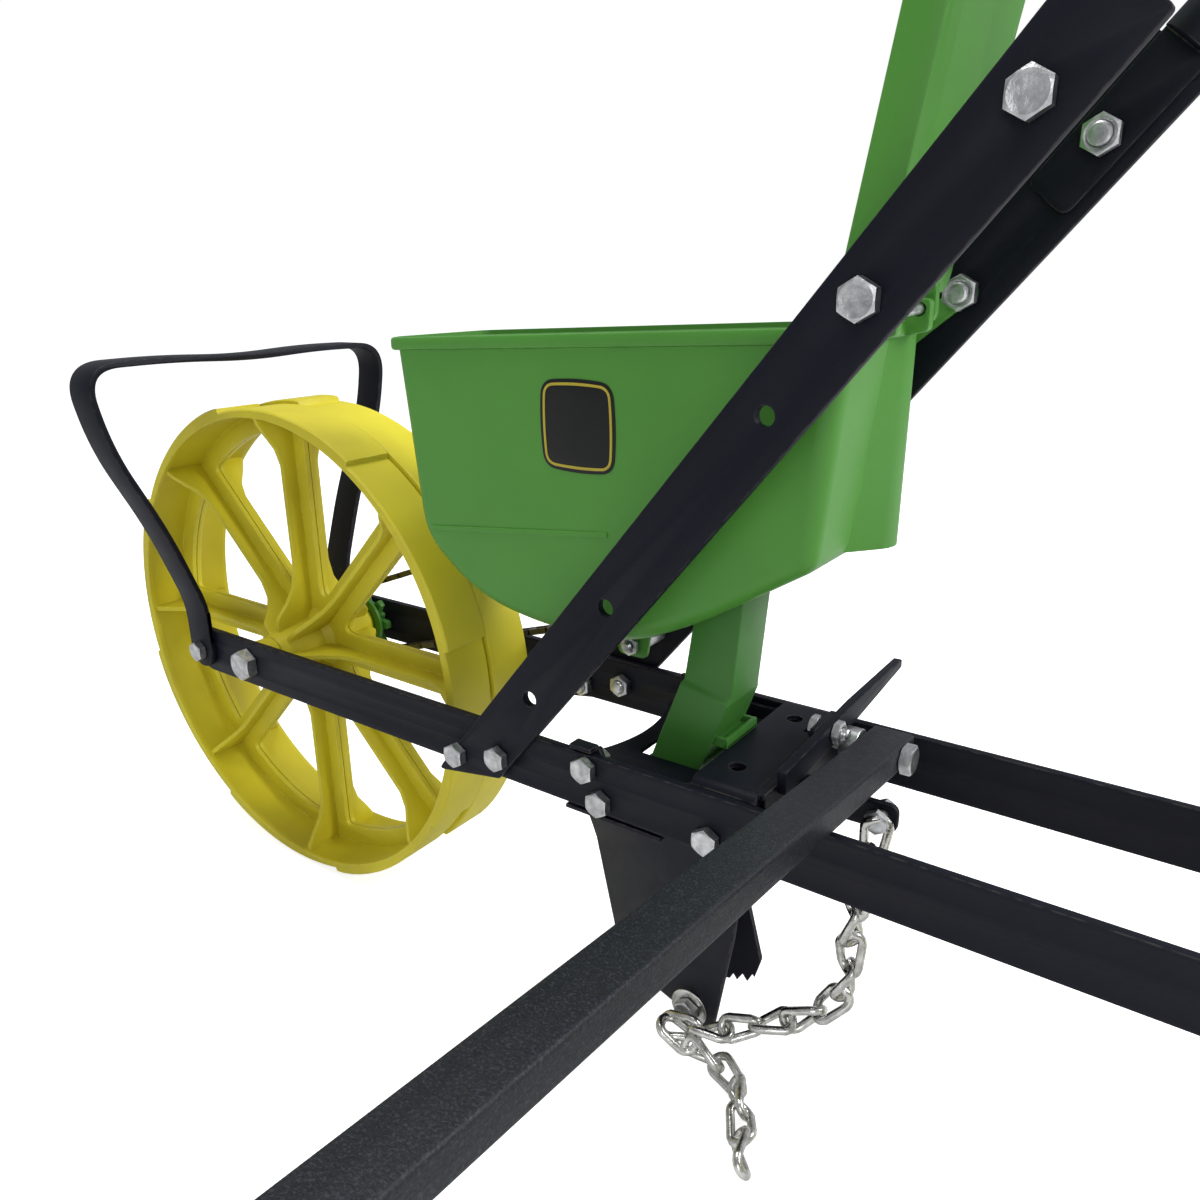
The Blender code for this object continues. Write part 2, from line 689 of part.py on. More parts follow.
def lean_tab(mesh, s0):
    """Gives the lap tab the same outward drift as the bar it lies against."""
    foot = Vector((HANDLE_FOOT[0], 0, HANDLE_FOOT[1]))
    for vert in mesh.vertices:
        s = (vert.co / MM - foot).dot(HANDLE_DIR)
        vert.co.y += (s - s0) * HANDLE_SPLAY * MM


def brace(path):
    """A flat cross strap between the upper tubes, on their front side."""
    spot = path[len(path) // 2 - 1]
    half = spot[1] + 14.0
    front = Vector((spot[0], 0, spot[2])) + HANDLE_SIDE * (TUBE_R + GAP + 2.6)
    outline = rounded(
        [(-half, -12.7), (half, -12.7), (half, 12.7), (-half, 12.7)], 8, 3
    )
    work = plate("brace_work", outline, 4.0, "XY", 0.0)
    turn = Matrix((
        (0, HANDLE_DIR.x, HANDLE_SIDE.x, front.x * MM),
        (1, 0, 0, 0),
        (0, HANDLE_DIR.z, HANDLE_SIDE.z, front.z * MM),
        (0, 0, 0, 1),
    ))
    work.data.transform(turn)
    face_outwards(work.data)
    finished(work, "handle_brace", BLACK)


def grip_shape(name, start, end, along):
    """A rubber sleeve, closed past the tube's end, with finger rings."""
    length = (end - start).length
    bore = TUBE_R + GAP
    profile = [(bore, length - 7.0 + 0.5), (0.0, length - 7.0 + 0.5)]
    outer = [(0.0, length), (GRIP_R - 4, length), (GRIP_R, length - 4)]
    for k in range(3):
        at = length - 14 - k * 34.0
        outer += [(GRIP_R, at), (GRIP_R - 1.6, at - 6), (GRIP_R - 1.6, at - 12), (GRIP_R, at - 18)]
    outer += [(GRIP_R + 2.5, 6.0), (GRIP_R + 2.5, 1.0), (GRIP_R, 0.0), (bore, 0.0)]
    profile += outer
    work = turned(name + "_w", profile, (0, 0, 0), 14)
    aim = along.to_track_quat("Y", "Z").to_matrix().to_4x4()
    work.data.transform(Matrix.Translation(start * MM) @ aim)
    return finished(work, name, RUBBER)


def smooth_path(points, steps):
    """Points along a Catmull-Rom curve through the given ones."""
    pts = [Vector(p) for p in points]
    pts = [pts[0] * 2 - pts[1], *pts, pts[-1] * 2 - pts[-2]]
    made = []
    for a, b, c, d in zip(pts, pts[1:], pts[2:], pts[3:]):
        for k in range(steps):
            t = k / steps
            made.append(
                0.5 * (2 * b + (c - a) * t + (2 * a - 5 * b + 4 * c - d) * t**2
                       + (3 * b - a - 3 * c + d) * t**3)
            )
    made.append(pts[-2])
    return [tuple(p) for p in made]


def sweep(name, path, radius, resolution=2, finish=None):
    curve = bpy.data.curves.new(name, "CURVE")
    curve.dimensions = "3D"
    curve.bevel_depth = radius * MM
    curve.bevel_resolution = resolution
    curve.use_fill_caps = True
    spline = curve.splines.new("POLY")
    spline.points.add(len(path) - 1)
    for point, spot in zip(spline.points, path):
        point.co = (*(Vector(spot) * MM), 1)
    made = working(name + "_work", curve)
    mesh = as_mesh(made, name)
    face_outwards(mesh)
    bpy.data.objects.remove(made, do_unlink=True)
    bpy.data.curves.remove(curve)
    return add_object(name, mesh, finish) if finish else working(name, mesh)


# ---------------------------------------------------------------- opener bracket, shoe and chute


def opener():
    high = DECK_Z - SHEET / 2
    side_outline = [
        (BRACKET_FRONT_X, BRACKET_LOW_Z), (BRACKET_FRONT_X, 19.5), (BRACKET_FRONT_X - 16, 18.5),
        (BRACKET_FRONT_X - 19, 12.0), (DECK_FRONT_X + 8, 12.0), (DECK_FRONT_X, DECK_Z),
        (BRACKET_REAR_X, DECK_Z), (BRACKET_REAR_X, BRACKET_LOW_Z),
    ]
    holes = [round_outline(place, BOLT_5_16[0] + HOLE_ROOM, 12) for place in BRACKET_BOLTS]
    near = plate("bracket_near", side_outline, SHEET, "XZ", BRACKET_Y - SHEET / 2, holes=holes)
    far = plate("bracket_far", side_outline, SHEET, "XZ", -BRACKET_Y + SHEET / 2, holes=holes)
    wide = BRACKET_Y - SHEET / 2
    hole_x, hole_y, hole_r = DECK_HOLE
    deck = plate(
        "bracket_deck",
        [(DECK_FRONT_X, -wide), (DECK_FRONT_X, wide), (BRACKET_REAR_X - SHEET, wide), (BRACKET_REAR_X - SHEET, -wide)],
        SHEET, "XY", high,
        holes=[round_outline((hole_x, y), hole_r, 14) for y in (-hole_y, hole_y)],
    )
    flange_y = BRACKET_Y - SHEET - 2
    flange = plate(
        "bracket_flange",
        [(-flange_y, FLANGE_LOW_Z), (flange_y, FLANGE_LOW_Z), (flange_y, DECK_Z - 1), (-4, DECK_Z - 1),
         (-4, FLANGE_TOP_Z), (-32, FLANGE_TOP_Z), (-32, DECK_Z - 1), (-flange_y, DECK_Z - 1)],
        SHEET, "YZ", BRACKET_REAR_X - SHEET / 2,
    )
    body = combine("bracket_body", near, [deck, flange, far], "UNION", None, "MANIFOLD")
    notch = box(
        "deck_notch", (BRACKET_REAR_X + 0.1, ARM_PIVOT_Y - 10, DECK_Z - 5), (BRACKET_REAR_X + 11, ARM_PIVOT_Y + 10, DECK_Z + 2)
    )
    rear = BRACKET_REAR_X - 20
    bores = [
        rod("pivot_bore", (rear, ARM_PIVOT_Y, ARM_PIVOT_Z), (-340, ARM_PIVOT_Y, ARM_PIVOT_Z), BOLT_3_8[0] + HOLE_ROOM, 14),
        rod("stop_bore", (rear, *STOP_BOLT), (-340, *STOP_BOLT), BOLT_1_4[0] + HOLE_ROOM, 12),
    ]
    combine("opener_bracket", body, [notch, *bores], "DIFFERENCE", BLACK, "MANIFOLD")
    for side, word in ((1, "near"), (-1, "far")):
        for k, (x, z) in enumerate(BRACKET_BOLTS):
            if side < 0 and k < 2:
                continue
            outside = side * (BAR_OUTER_Y + GAP)
            inside = side * (BRACKET_Y - SHEET - GAP)
            bolt(
                f"{word}_bracket_bolt_{k + 1}", BOLT_5_16, (x, outside, z),
                (x, inside - side * 8.0, z), (x, inside, z),
            )
    opener_shoe()
    seed_chute()


STOP_BOLT = (-17.0, 26.5)

SHOE_TOP_Z = BRACKET_LOW_Z - 0.5
# Each ring: height, front x, front half width, rear x, rear half width.
SHOE_RINGS = (
    (SHOE_TOP_Z, -286.0, BRACKET_Y - 5.08, -382.0, BRACKET_Y - 3.58),
    (-76.0, -258.0, 2.6, -372.0, 42.0),
    (-158.0, -276.0, 2.6, -352.0, 24.5),
)
CHAIN_BOLT = (-338.0, -146.0)


def shoe_wall_y(x, z):
    """Outer half width of the shoe at a place on its lower side wall."""
    (z0, f0, a0, r0, b0), (z1, f1, a1, r1, b1) = SHOE_RINGS[1], SHOE_RINGS[2]
    t = (z0 - z) / (z0 - z1)
    front, rear = f0 + (f1 - f0) * t, r0 + (r1 - r0) * t
    low, high = a0 + (a1 - a0) * t, b0 + (b1 - b0) * t
    return low + (high - low) * (front - x) / (front - rear)


def opener_shoe():
    """The furrow opener: a folded sheet, open behind, wide at the frame and a knife edge in front."""
    mesh = bpy.data.meshes.new("opener_shoe")
    bm = bmesh.new()
    rings = []
    for z, front, front_y, rear, rear_y in SHOE_RINGS:
        rings.append([
            bm.verts.new(Vector(p) * MM)
            for p in ((rear, rear_y, z), (front, front_y, z), (front, -front_y, z), (rear, -rear_y, z))
        ])
    for upper, lower in zip(rings, rings[1:]):
        for k in range(3):
            bm.faces.new((upper[k], upper[k + 1], lower[k + 1], lower[k]))
    bmesh.ops.recalc_face_normals(bm, faces=bm.faces)
    bm.to_mesh(mesh)
    bm.free()
    work = working("shoe_work", mesh)
    wall = work.modifiers.new("sheet", "SOLIDIFY")
    wall.thickness = SHEET * MM
    wall.offset = 0.0
    wall.use_even_offset = True
    shoe = finished_work(work, "shoe_wall")
    ears = []
    for side in (1, -1):
        y = side * (BRACKET_Y - SHEET - 1.7)
        ears.append(plate(
            f"shoe_ear{side}", [(-296, SHOE_TOP_Z - 2), (-340, SHOE_TOP_Z - 2), (-336, 2), (-286, 2)],
            SHEET, "XZ", y, holes=[],
        ))
    x, z = CHAIN_BOLT
    bores = [rod("shoe_bore", (x, 0, z), (x, 60, z), BOLT_5_16[0] + HOLE_ROOM, 12)]
    for bx, bz in BRACKET_BOLTS[:2]:
        bores.append(rod(f"shoe_bore_{bx:.0f}", (bx, -80, bz), (bx, 80, bz), 8.6, 12))
    body = combine("shoe_body", shoe, ears, "UNION", None)
    combine("opener_shoe", body, bores, "DIFFERENCE", BLACK)
    web_plate()


def finished_work(obj, name):
    mesh = as_mesh(obj, name)
    bpy.data.objects.remove(obj, do_unlink=True)
    face_outwards(mesh)
    return working(name, mesh)


CHUTE_RINGS = (   # height at the front and the rear, front x, rear x, half width
    (79.0, 95.0, -331.0, -358.0, 19.0),
    (50.0, 46.0, -326.0, -353.0, 20.5),
    (-9.0, -9.0, -305.0, -334.0, 24.0),
)
CHUTE_WALL = 2.0


def web_plate():
    """The plate across the shoe's mouth: a hollow front edge and a window that the chute drops into."""
    wide = BRACKET_Y - SHEET - GAP - 3.6
    narrow = wide - 8.7
    arc = [
        (-291.0 + 10.0 * (y / narrow) ** 2, y) for y in (narrow * (1.0 - 0.2 * k) for k in range(11))
    ]
    outline = [(-350.0, wide), (-318.0, wide), *arc, (-318.0, -wide), (-350.0, -wide)]
    front, rear = CHUTE_RINGS[2][2] + 3.0, CHUTE_RINGS[2][3] - 8.0
    half = CHUTE_RINGS[2][4] + 1.2
    window = [(front, -half), (front, half), (rear, half), (rear, -half)]
    plate("shoe_top_plate", outline, SHEET, "XY", 4.5, BLACK, [window])


def seed_chute():
    mesh = bpy.data.meshes.new("seed_chute")
    bm = bmesh.new()
    rings = []
    for high, low_rear, front, rear, half in CHUTE_RINGS:
        rings.append([
            bm.verts.new(Vector(p) * MM)
            for p in ((front, half, high), (rear, half, low_rear), (rear, -half, low_rear), (front, -half, high))
        ])
    for upper, lower in zip(rings, rings[1:]):
        for k in range(4):
            bm.faces.new((upper[k], upper[(k + 1) % 4], lower[(k + 1) % 4], lower[k]))
    bmesh.ops.recalc_face_normals(bm, faces=bm.faces)
    bm.to_mesh(mesh)
    bm.free()
    work = working("chute_work", mesh)
    wall = work.modifiers.new("wall", "SOLIDIFY")
    wall.thickness = CHUTE_WALL * MM
    wall.offset = -1.0 if outward(mesh) else 1.0
    wall.use_even_offset = True
    tube = finished_work(work, "chute_tube")
    lip_z = DECK_Z + GAP
    rear_at_lip = -305.0 - 29.0 - (lip_z + 9.0) * 0.36
    lip = box("chute_lip", (rear_at_lip - 11.0, -19.0, lip_z), (rear_at_lip + 1.0, 19.0, lip_z + 2.2))
    combine("seed_chute", tube, [lip], "UNION", GREEN)


def outward(mesh):
    middle = Vector((-332.0, 0.0, 40.0)) * MM
    face = mesh.polygons[0]
    return face.normal.dot(face.center - middle) > 0


# ---------------------------------------------------------------- hopper, lid and seed drive


def hopper_half_width(z):
    share = (z - 67.0) / (HOPPER_REAR[1] - 67.0)
    return HOPPER_FOOT_Y + (HOPPER_RIM_Y - HOPPER_FOOT_Y) * share


def hopper_outline():
    return [HOPPER_FRONT, *HOPPER_BELLY, HOPPER_REAR]


def hopper_skin(name, inset):
    """The tub as a solid, inset from its outer faces, with rounded long edges."""
    flat = hopper_outline()
    middle = Vector((-285.0, 160.0))
    profile = []
    for i, point in enumerate(flat):
        here = Vector(point)
        if i in (0, len(flat) - 1):
            shift = Vector((-1 if i == 0 else 1, 0)) * inset
            profile.append(here + shift + Vector((0, 4.0 if inset else 0.0)))
            continue
        a = (here - Vector(flat[i - 1])).normalized()
        b = (Vector(flat[i + 1]) - here).normalized()
        normal = (Vector((-a.y, a.x)) + Vector((-b.y, b.x))).normalized()
        if normal.dot(middle - here) < 0:
            normal.negate()
        profile.append(here + normal * inset)
    mesh = bpy.data.meshes.new(name)
    bm = bmesh.new()
    sides = []
    for side in (1, -1):
        sides.append([
            bm.verts.new((p.x * MM, side * (hopper_half_width(p.y) - inset) * MM, p.y * MM))
            for p in profile
        ])
    count = len(profile)
    bm.faces.new(sides[0])
    bm.faces.new(sides[1][::-1])
    long_edges = []
    for i in range(count):
        face = bm.faces.new((sides[0][i], sides[1][i], sides[1][(i + 1) % count], sides[0][(i + 1) % count]))
        face.normal_update()
    bmesh.ops.recalc_face_normals(bm, faces=bm.faces)
    for i in range(count - 1):
        for ring in sides:
            long_edges.append(bm.edges.get((ring[i], ring[i + 1])))
    bmesh.ops.bevel(
        bm, geom=long_edges, offset=(9.0 - inset) * MM, segments=3, profile=0.5, affect="EDGES",
        clamp_overlap=True,
    )
    bmesh.ops.remove_doubles(bm, verts=bm.verts, dist=1e-6)
    bm.to_mesh(mesh)
    bm.free()
    face_outwards(mesh)
    return working(name, mesh)


def rim_ring():
    """The rolled lip round the rim, tilted as the rim is."""
    length = Vector(HOPPER_REAR).x - Vector(HOPPER_FRONT).x
    slope = (HOPPER_REAR[1] - HOPPER_FRONT[1]) / length
    front, rear = HOPPER_FRONT[0] + HOPPER_LIP, HOPPER_REAR[0] - HOPPER_LIP
    wide = HOPPER_RIM_Y + HOPPER_LIP - 1.0
    outer = rounded([(front, -wide), (front, wide), (rear, wide), (rear, -wide)], 9.0, 4)
    inset = HOPPER_LIP + HOPPER_WALL - 1.0
    inner = rounded(
        [(front - inset - 1, -wide + inset), (front - inset - 1, wide - inset),
         (rear + inset + 1, wide - inset), (rear + inset + 1, -wide + inset)], 6.0, 4,
    )
    ring = plate("rim_ring", outer, 4.0, "XY", -2.2, holes=[inner])
    for vert in ring.data.vertices:
        vert.co.z += (HOPPER_FRONT[1] + slope * (vert.co.x / MM - HOPPER_FRONT[0])) * MM
    return ring


def hopper():
    skin = hopper_skin("hopper_skin", 0.0)
    hollow = hopper_skin("hopper_hollow", HOPPER_WALL)
    tub = combine("hopper_tub", skin, [hollow], "DIFFERENCE", None)
    x, z = LID_PIVOT
    added = [rim_ring()]
    for side in (1, -1):
        ear = plate(
            f"hinge_ear{side}", rounded([(x - 5, z + 4.5), (x - 5, z - 9), (x + 12, z - 13), (x + 12, z - 5.5), (x + 5, z + 4.5)], 2, 2),
            6.0, "XZ", side * 20.0,
        )
        added.append(ear)
    ear_x, ear_z = on_handle(EAR_BOLT_S)
    ear_y = EAR_PLATE_Y
    for side in (1, -1):
        added.append(plate(
            f"side_ear{side}",
            rounded([(ear_x - 9, ear_z + 9), (ear_x - 9, ear_z - 9), (-403, 207), (-387, 207), (-387, 215), (ear_x + 9, ear_z + 9)], 4, 2),
            3.0, "XZ", side * (ear_y + 1.5),
        ))
        added.append(box(
            f"side_arm{side}", (-400, min(side * 36.5, side * (ear_y + 3)), 208),
            (-389, max(side * 36.5, side * (ear_y + 3)), 214),
        ))
    lug_x, lug_z = LUG_BOLT
    added.append(plate(
        "under_lug",
        rounded([(lug_x - 10, lug_z - 8), (lug_x + 10, lug_z - 8), (lug_x + 16, 72), (lug_x - 16, 74)], 4, 2),
        3.0, "XZ", -33.0,
    ))
    foot = box("rear_foot", (-416, -30, 118), (-398, -25, 140))
    added.append(foot)
    body = combine("hopper_body", tub, added, "UNION", None, "MANIFOLD")
    cuts = [
        rod("hinge_bore", (x, -60, z), (x, 60, z), PIN_R + 0.35, 14),
        rod("shaft_bore", (SHAFT_X, -60, SHAFT_Z), (SHAFT_X, -20, SHAFT_Z), SHAFT_R + 0.35, 16),
        rod("ear_bore", (ear_x, -80, ear_z), (ear_x, 80, ear_z), BOLT_3_8[0] + HOLE_ROOM, 14),
        rod("lug_bore", (lug_x, -60, lug_z), (lug_x, -10, lug_z), BOLT_1_4[0] + HOLE_ROOM, 12),
        box("outlet", (OUTLET_X[0], -OUTLET_Y, 60), (OUTLET_X[1], OUTLET_Y, 116)),
    ]
    combine("hopper", body, cuts, "DIFFERENCE", GREEN, "MANIFOLD")
    for side, word in ((1, "near"), (-1, "far")):
        handle_bolt(word + "_ear_bolt", BOLT_3_8, EAR_BOLT_S, ear_y - 9.0, ear_y - GAP, side)
    lid()
    seed_drive()


EAR_PLATE_Y = handle_y(EAR_BOLT_S - 60.0) - GAP - 3.0
LUG_BOLT = on_handle(HANDLE_HOLES[0])


def lid():
    """A shallow pan, made closed over the rim and then swung open about its pin."""
    slope = math.atan2(HOPPER_REAR[1] - HOPPER_FRONT[1], HOPPER_FRONT[0] - HOPPER_REAR[0])
    top = 2.2
    outer = rounded(
        [(6.5, -LID_HALF), (LID_LENGTH, -LID_HALF), (LID_LENGTH, LID_HALF), (6.5, LID_HALF)], 8.0, 4
    )
    inner = rounded(
        [(-8.0, -LID_HALF + LID_THICK), (LID_LENGTH - LID_THICK, -LID_HALF + LID_THICK),
         (LID_LENGTH - LID_THICK, LID_HALF - LID_THICK), (-8.0, LID_HALF - LID_THICK)], 7.0, 4,
    )
    pan = plate("lid_pan", outer, LID_SKIRT, "XY", top - LID_SKIRT / 2)
    scoop = plate("lid_scoop", inner, LID_SKIRT, "XY", top - LID_THICK - LID_SKIRT / 2)
    shell = combine("lid_shell", pan, [scoop], "DIFFERENCE", None)
    ears = [
        plate(
            f"lid_ear{side}", rounded([(-5, -4.5), (9, -1.0), (14, 1.6), (-1, 5.0), (-5, 4.5)], 1.5, 2), 5.0,
            "XZ", side * 27.5,
        )
        for side in (1, -1)
    ]
    pull = box("lid_pull", (LID_LENGTH - 1, -14, top - 3.0), (LID_LENGTH + 9, 14, top))
    whole = combine("lid_whole", shell, [*ears, pull], "UNION", None)
    bore = rod("lid_bore", (0, -60, 0), (0, 60, 0), PIN_R + 0.3, 14)
    # Slots at the hinge edge, round the hopper's two hinge ears.
    slots = [box(f"lid_slot{side}", (0, side * 20 - 4.2, -6), (10.5, side * 20 + 4.2, top + 3)) for side in (1, -1)]
    made = combine("hopper_lid", whole, [bore, *slots], "DIFFERENCE", GREEN)
    made.location = Vector((LID_PIVOT[0], 0, LID_PIVOT[1])) * MM
    made.rotation_euler = (0, slope - LID_OPEN, 0)
    x, z = LID_PIVOT
    rod("lid_hinge_pin", (x, -33, z), (x, 33, z), PIN_R, 14, ZINC)


def seed_drive():
    teeth = plate(
        "plate_teeth", toothed_outline(DRIVEN_R, PLATE_TEETH, 3.0, 4.2), SPROCKET_WIDTH, "XZ", CHAIN_Y
    )
    hub = turned(
        "plate_hub", [(11.0, CHAIN_Y + 4.5), (11.0, CHAIN_Y - 3.6), (2.0, CHAIN_Y - 3.6), (2.0, CHAIN_Y + 4.5)],
        (0, 0, 0), 20,
    )
    body = combine("plate_body", teeth, [hub], "UNION", None)
    bore = rod("plate_bore", (0, -70, 0), (0, 0, 0), SHAFT_R + GAP, 16)
    sprocket = combine("plate_sprocket", body, [bore], "DIFFERENCE", STEEL)
    sprocket.location = Vector((SHAFT_X, 0, SHAFT_Z)) * MM

    plate_in = -hopper_half_width(SHAFT_Z) + HOPPER_WALL + SEED_PLATE_ROOM
    rod(
        "seed_shaft", (SHAFT_X, CHAIN_Y - 6.4, SHAFT_Z), (SHAFT_X, plate_in + SEED_PLATE_THICK + 3, SHAFT_Z),
        SHAFT_R, 16, ZINC,
    )
    outline = []
    for k in range(SEED_CELLS):
        step = 2 * math.pi / SEED_CELLS
        for share, r in ((-0.30, 0.0), (-0.16, -5.0), (0.16, -5.0), (0.30, 0.0), (0.5, 0.0)):
            a = (k + share) * step
            outline.append(((SEED_PLATE_R + r) * math.cos(a), (SEED_PLATE_R + r) * math.sin(a)))
    disc = plate(
        "seed_plate", outline, SEED_PLATE_THICK, "XZ", plate_in + SEED_PLATE_THICK / 2, CREAM,
        [round_outline((0, 0), SHAFT_R + GAP, 16)],
    )
    disc.location = Vector((SHAFT_X, 0, SHAFT_Z)) * MM
    lug_x, lug_z = LUG_BOLT
    spacer_in, spacer_out = -34.5 - GAP, -handle_y(HANDLE_HOLES[0]) + GAP
    turned(
        "lug_spacer",
        [(6.5, spacer_in), (6.5, spacer_out), (BOLT_1_4[0] + 0.35, spacer_out), (BOLT_1_4[0] + 0.35, spacer_in)],
        (lug_x, 0, lug_z), 16, ZINC,
    )
    outside = -(handle_y(HANDLE_HOLES[0]) + BAR_THICK + 2 * GAP)
    bolt("lug_bolt", BOLT_1_4, (lug_x, outside, lug_z), (lug_x, -24.0, lug_z), (lug_x, -31.5 + GAP, lug_z))
    drive_chain()


def drive_chain():
    """The chain as one smooth band round both wheels, clear of their lugs."""
    ends = ((0.0, 0.0, DRIVE_R), (SHAFT_X, SHAFT_Z, DRIVEN_R))
    (x0, z0, r0), (x1, z1, r1) = ends
    span = Vector((x1 - x0, z1 - z0))
    lean = math.atan2(span.y, span.x)
    open_angle = math.acos((r0 - r1) / span.length)

    def loop(extra, steps):
        points = []
        sweep0 = 2 * math.pi - 2 * open_angle
        for k in range(steps + 1):
            a = lean + open_angle + sweep0 * k / steps
            points.append((x0 + (r0 + extra) * math.cos(a), z0 + (r0 + extra) * math.sin(a)))
        for k in range(steps + 1):
            a = lean - open_angle + 2 * open_angle * k / steps
            points.append((x1 + (r1 + extra) * math.cos(a), z1 + (r1 + extra) * math.sin(a)))
        return points

    inner = 3.0 + GAP
    plate(
        "drive_chain", loop(inner + 3.0, 16), CHAIN_WIDTH, "XZ", CHAIN_Y, STEEL, [loop(inner, 16)]
    )


# ---------------------------------------------------------------- press wheel and its hangers


def press_wheel():
    half, hub = PRESS_WIDTH / 2, BAR_INNER_Y - 0.4 - HANGER_THICK - 1.0
    rim_in = PRESS_R - 5.0
    profile = [
        (PRESS_R, half - 3), (PRESS_R - 2.0, half), (rim_in - 2, half), (rim_in - 3, 5.0), (24.0, 5.0), (19.0, hub), (7.0, hub),
        (7.0, -hub), (19.0, -hub), (24.0, -5.0), (rim_in - 3, -5.0), (rim_in - 2, -half), (PRESS_R - 2.0, -half),
        (PRESS_R, -half + 3),
    ]
    wheel = turned("press_turned", profile, (0, 0, 0), 36)
    cuts = [
        rod(
            f"press_window{k}",
            (54 * math.cos(k * math.pi / 3), -12, 54 * math.sin(k * math.pi / 3)),
            (54 * math.cos(k * math.pi / 3), 12, 54 * math.sin(k * math.pi / 3)), 16.0, 12,
        )
        for k in range(6)
    ]
    made = combine("press_wheel", wheel, cuts, "DIFFERENCE", YELLOW)
    made.location = Vector((PRESS_X, 0, PRESS_Z)) * MM
    outline = rounded(
        [(PRESS_X - HANGER_WIDTH / 2, PRESS_Z - 22), (PRESS_X + HANGER_WIDTH / 2, PRESS_Z - 22),
         (PRESS_X + HANGER_WIDTH / 2, 15.0), (PRESS_X - HANGER_WIDTH / 2, 15.0)], 12, 4,
    )
    holes = [round_outline(place, BOLT_5_16[0] + HOLE_ROOM, 12) for place in HANGER_BOLTS]
    holes += [round_outline((PRESS_X, -30.0), BOLT_5_16[0] + HOLE_ROOM, 12)]
    holes += [round_outline((PRESS_X, PRESS_Z), AXLE_R + HOLE_ROOM, 16)]
    middle = BAR_INNER_Y - 0.4 - HANGER_THICK / 2
    near = plate("near_press_hanger", outline, HANGER_THICK, "XZ", middle, BLACK, holes)
    mirrored(near, "far_press_hanger", BLACK)
    outer = BAR_INNER_Y - 0.4 + GAP
    bolt(
        "press_axle_bolt", BOLT_1_2, (PRESS_X, outer, PRESS_Z), (PRESS_X, -outer - 12, PRESS_Z),
        (PRESS_X, -outer, PRESS_Z),
    )
    for side, word in ((1, "near"), (-1, "far")):
        x, z = HANGER_BOLTS[0]
        outside = side * (BAR_OUTER_Y + GAP)
        inside = side * (BAR_INNER_Y - 0.4 - HANGER_THICK - GAP)
        bolt(f"{word}_hanger_bolt", BOLT_5_16, (x, outside, z), (x, inside - side * 8, z), (x, inside, z))


# ---------------------------------------------------------------- row marker


def tilt_arm(mesh):
    """Turns a piece made level along +Y from the pivot into the arm's resting place."""
    place = Vector(((ARM_X[0] + ARM_X[1]) / 2, ARM_PIVOT_Y, ARM_PIVOT_Z)) * MM
    mesh.transform(Matrix.Translation(place) @ Matrix.Rotation(ARM_TILT, 4, "X"))


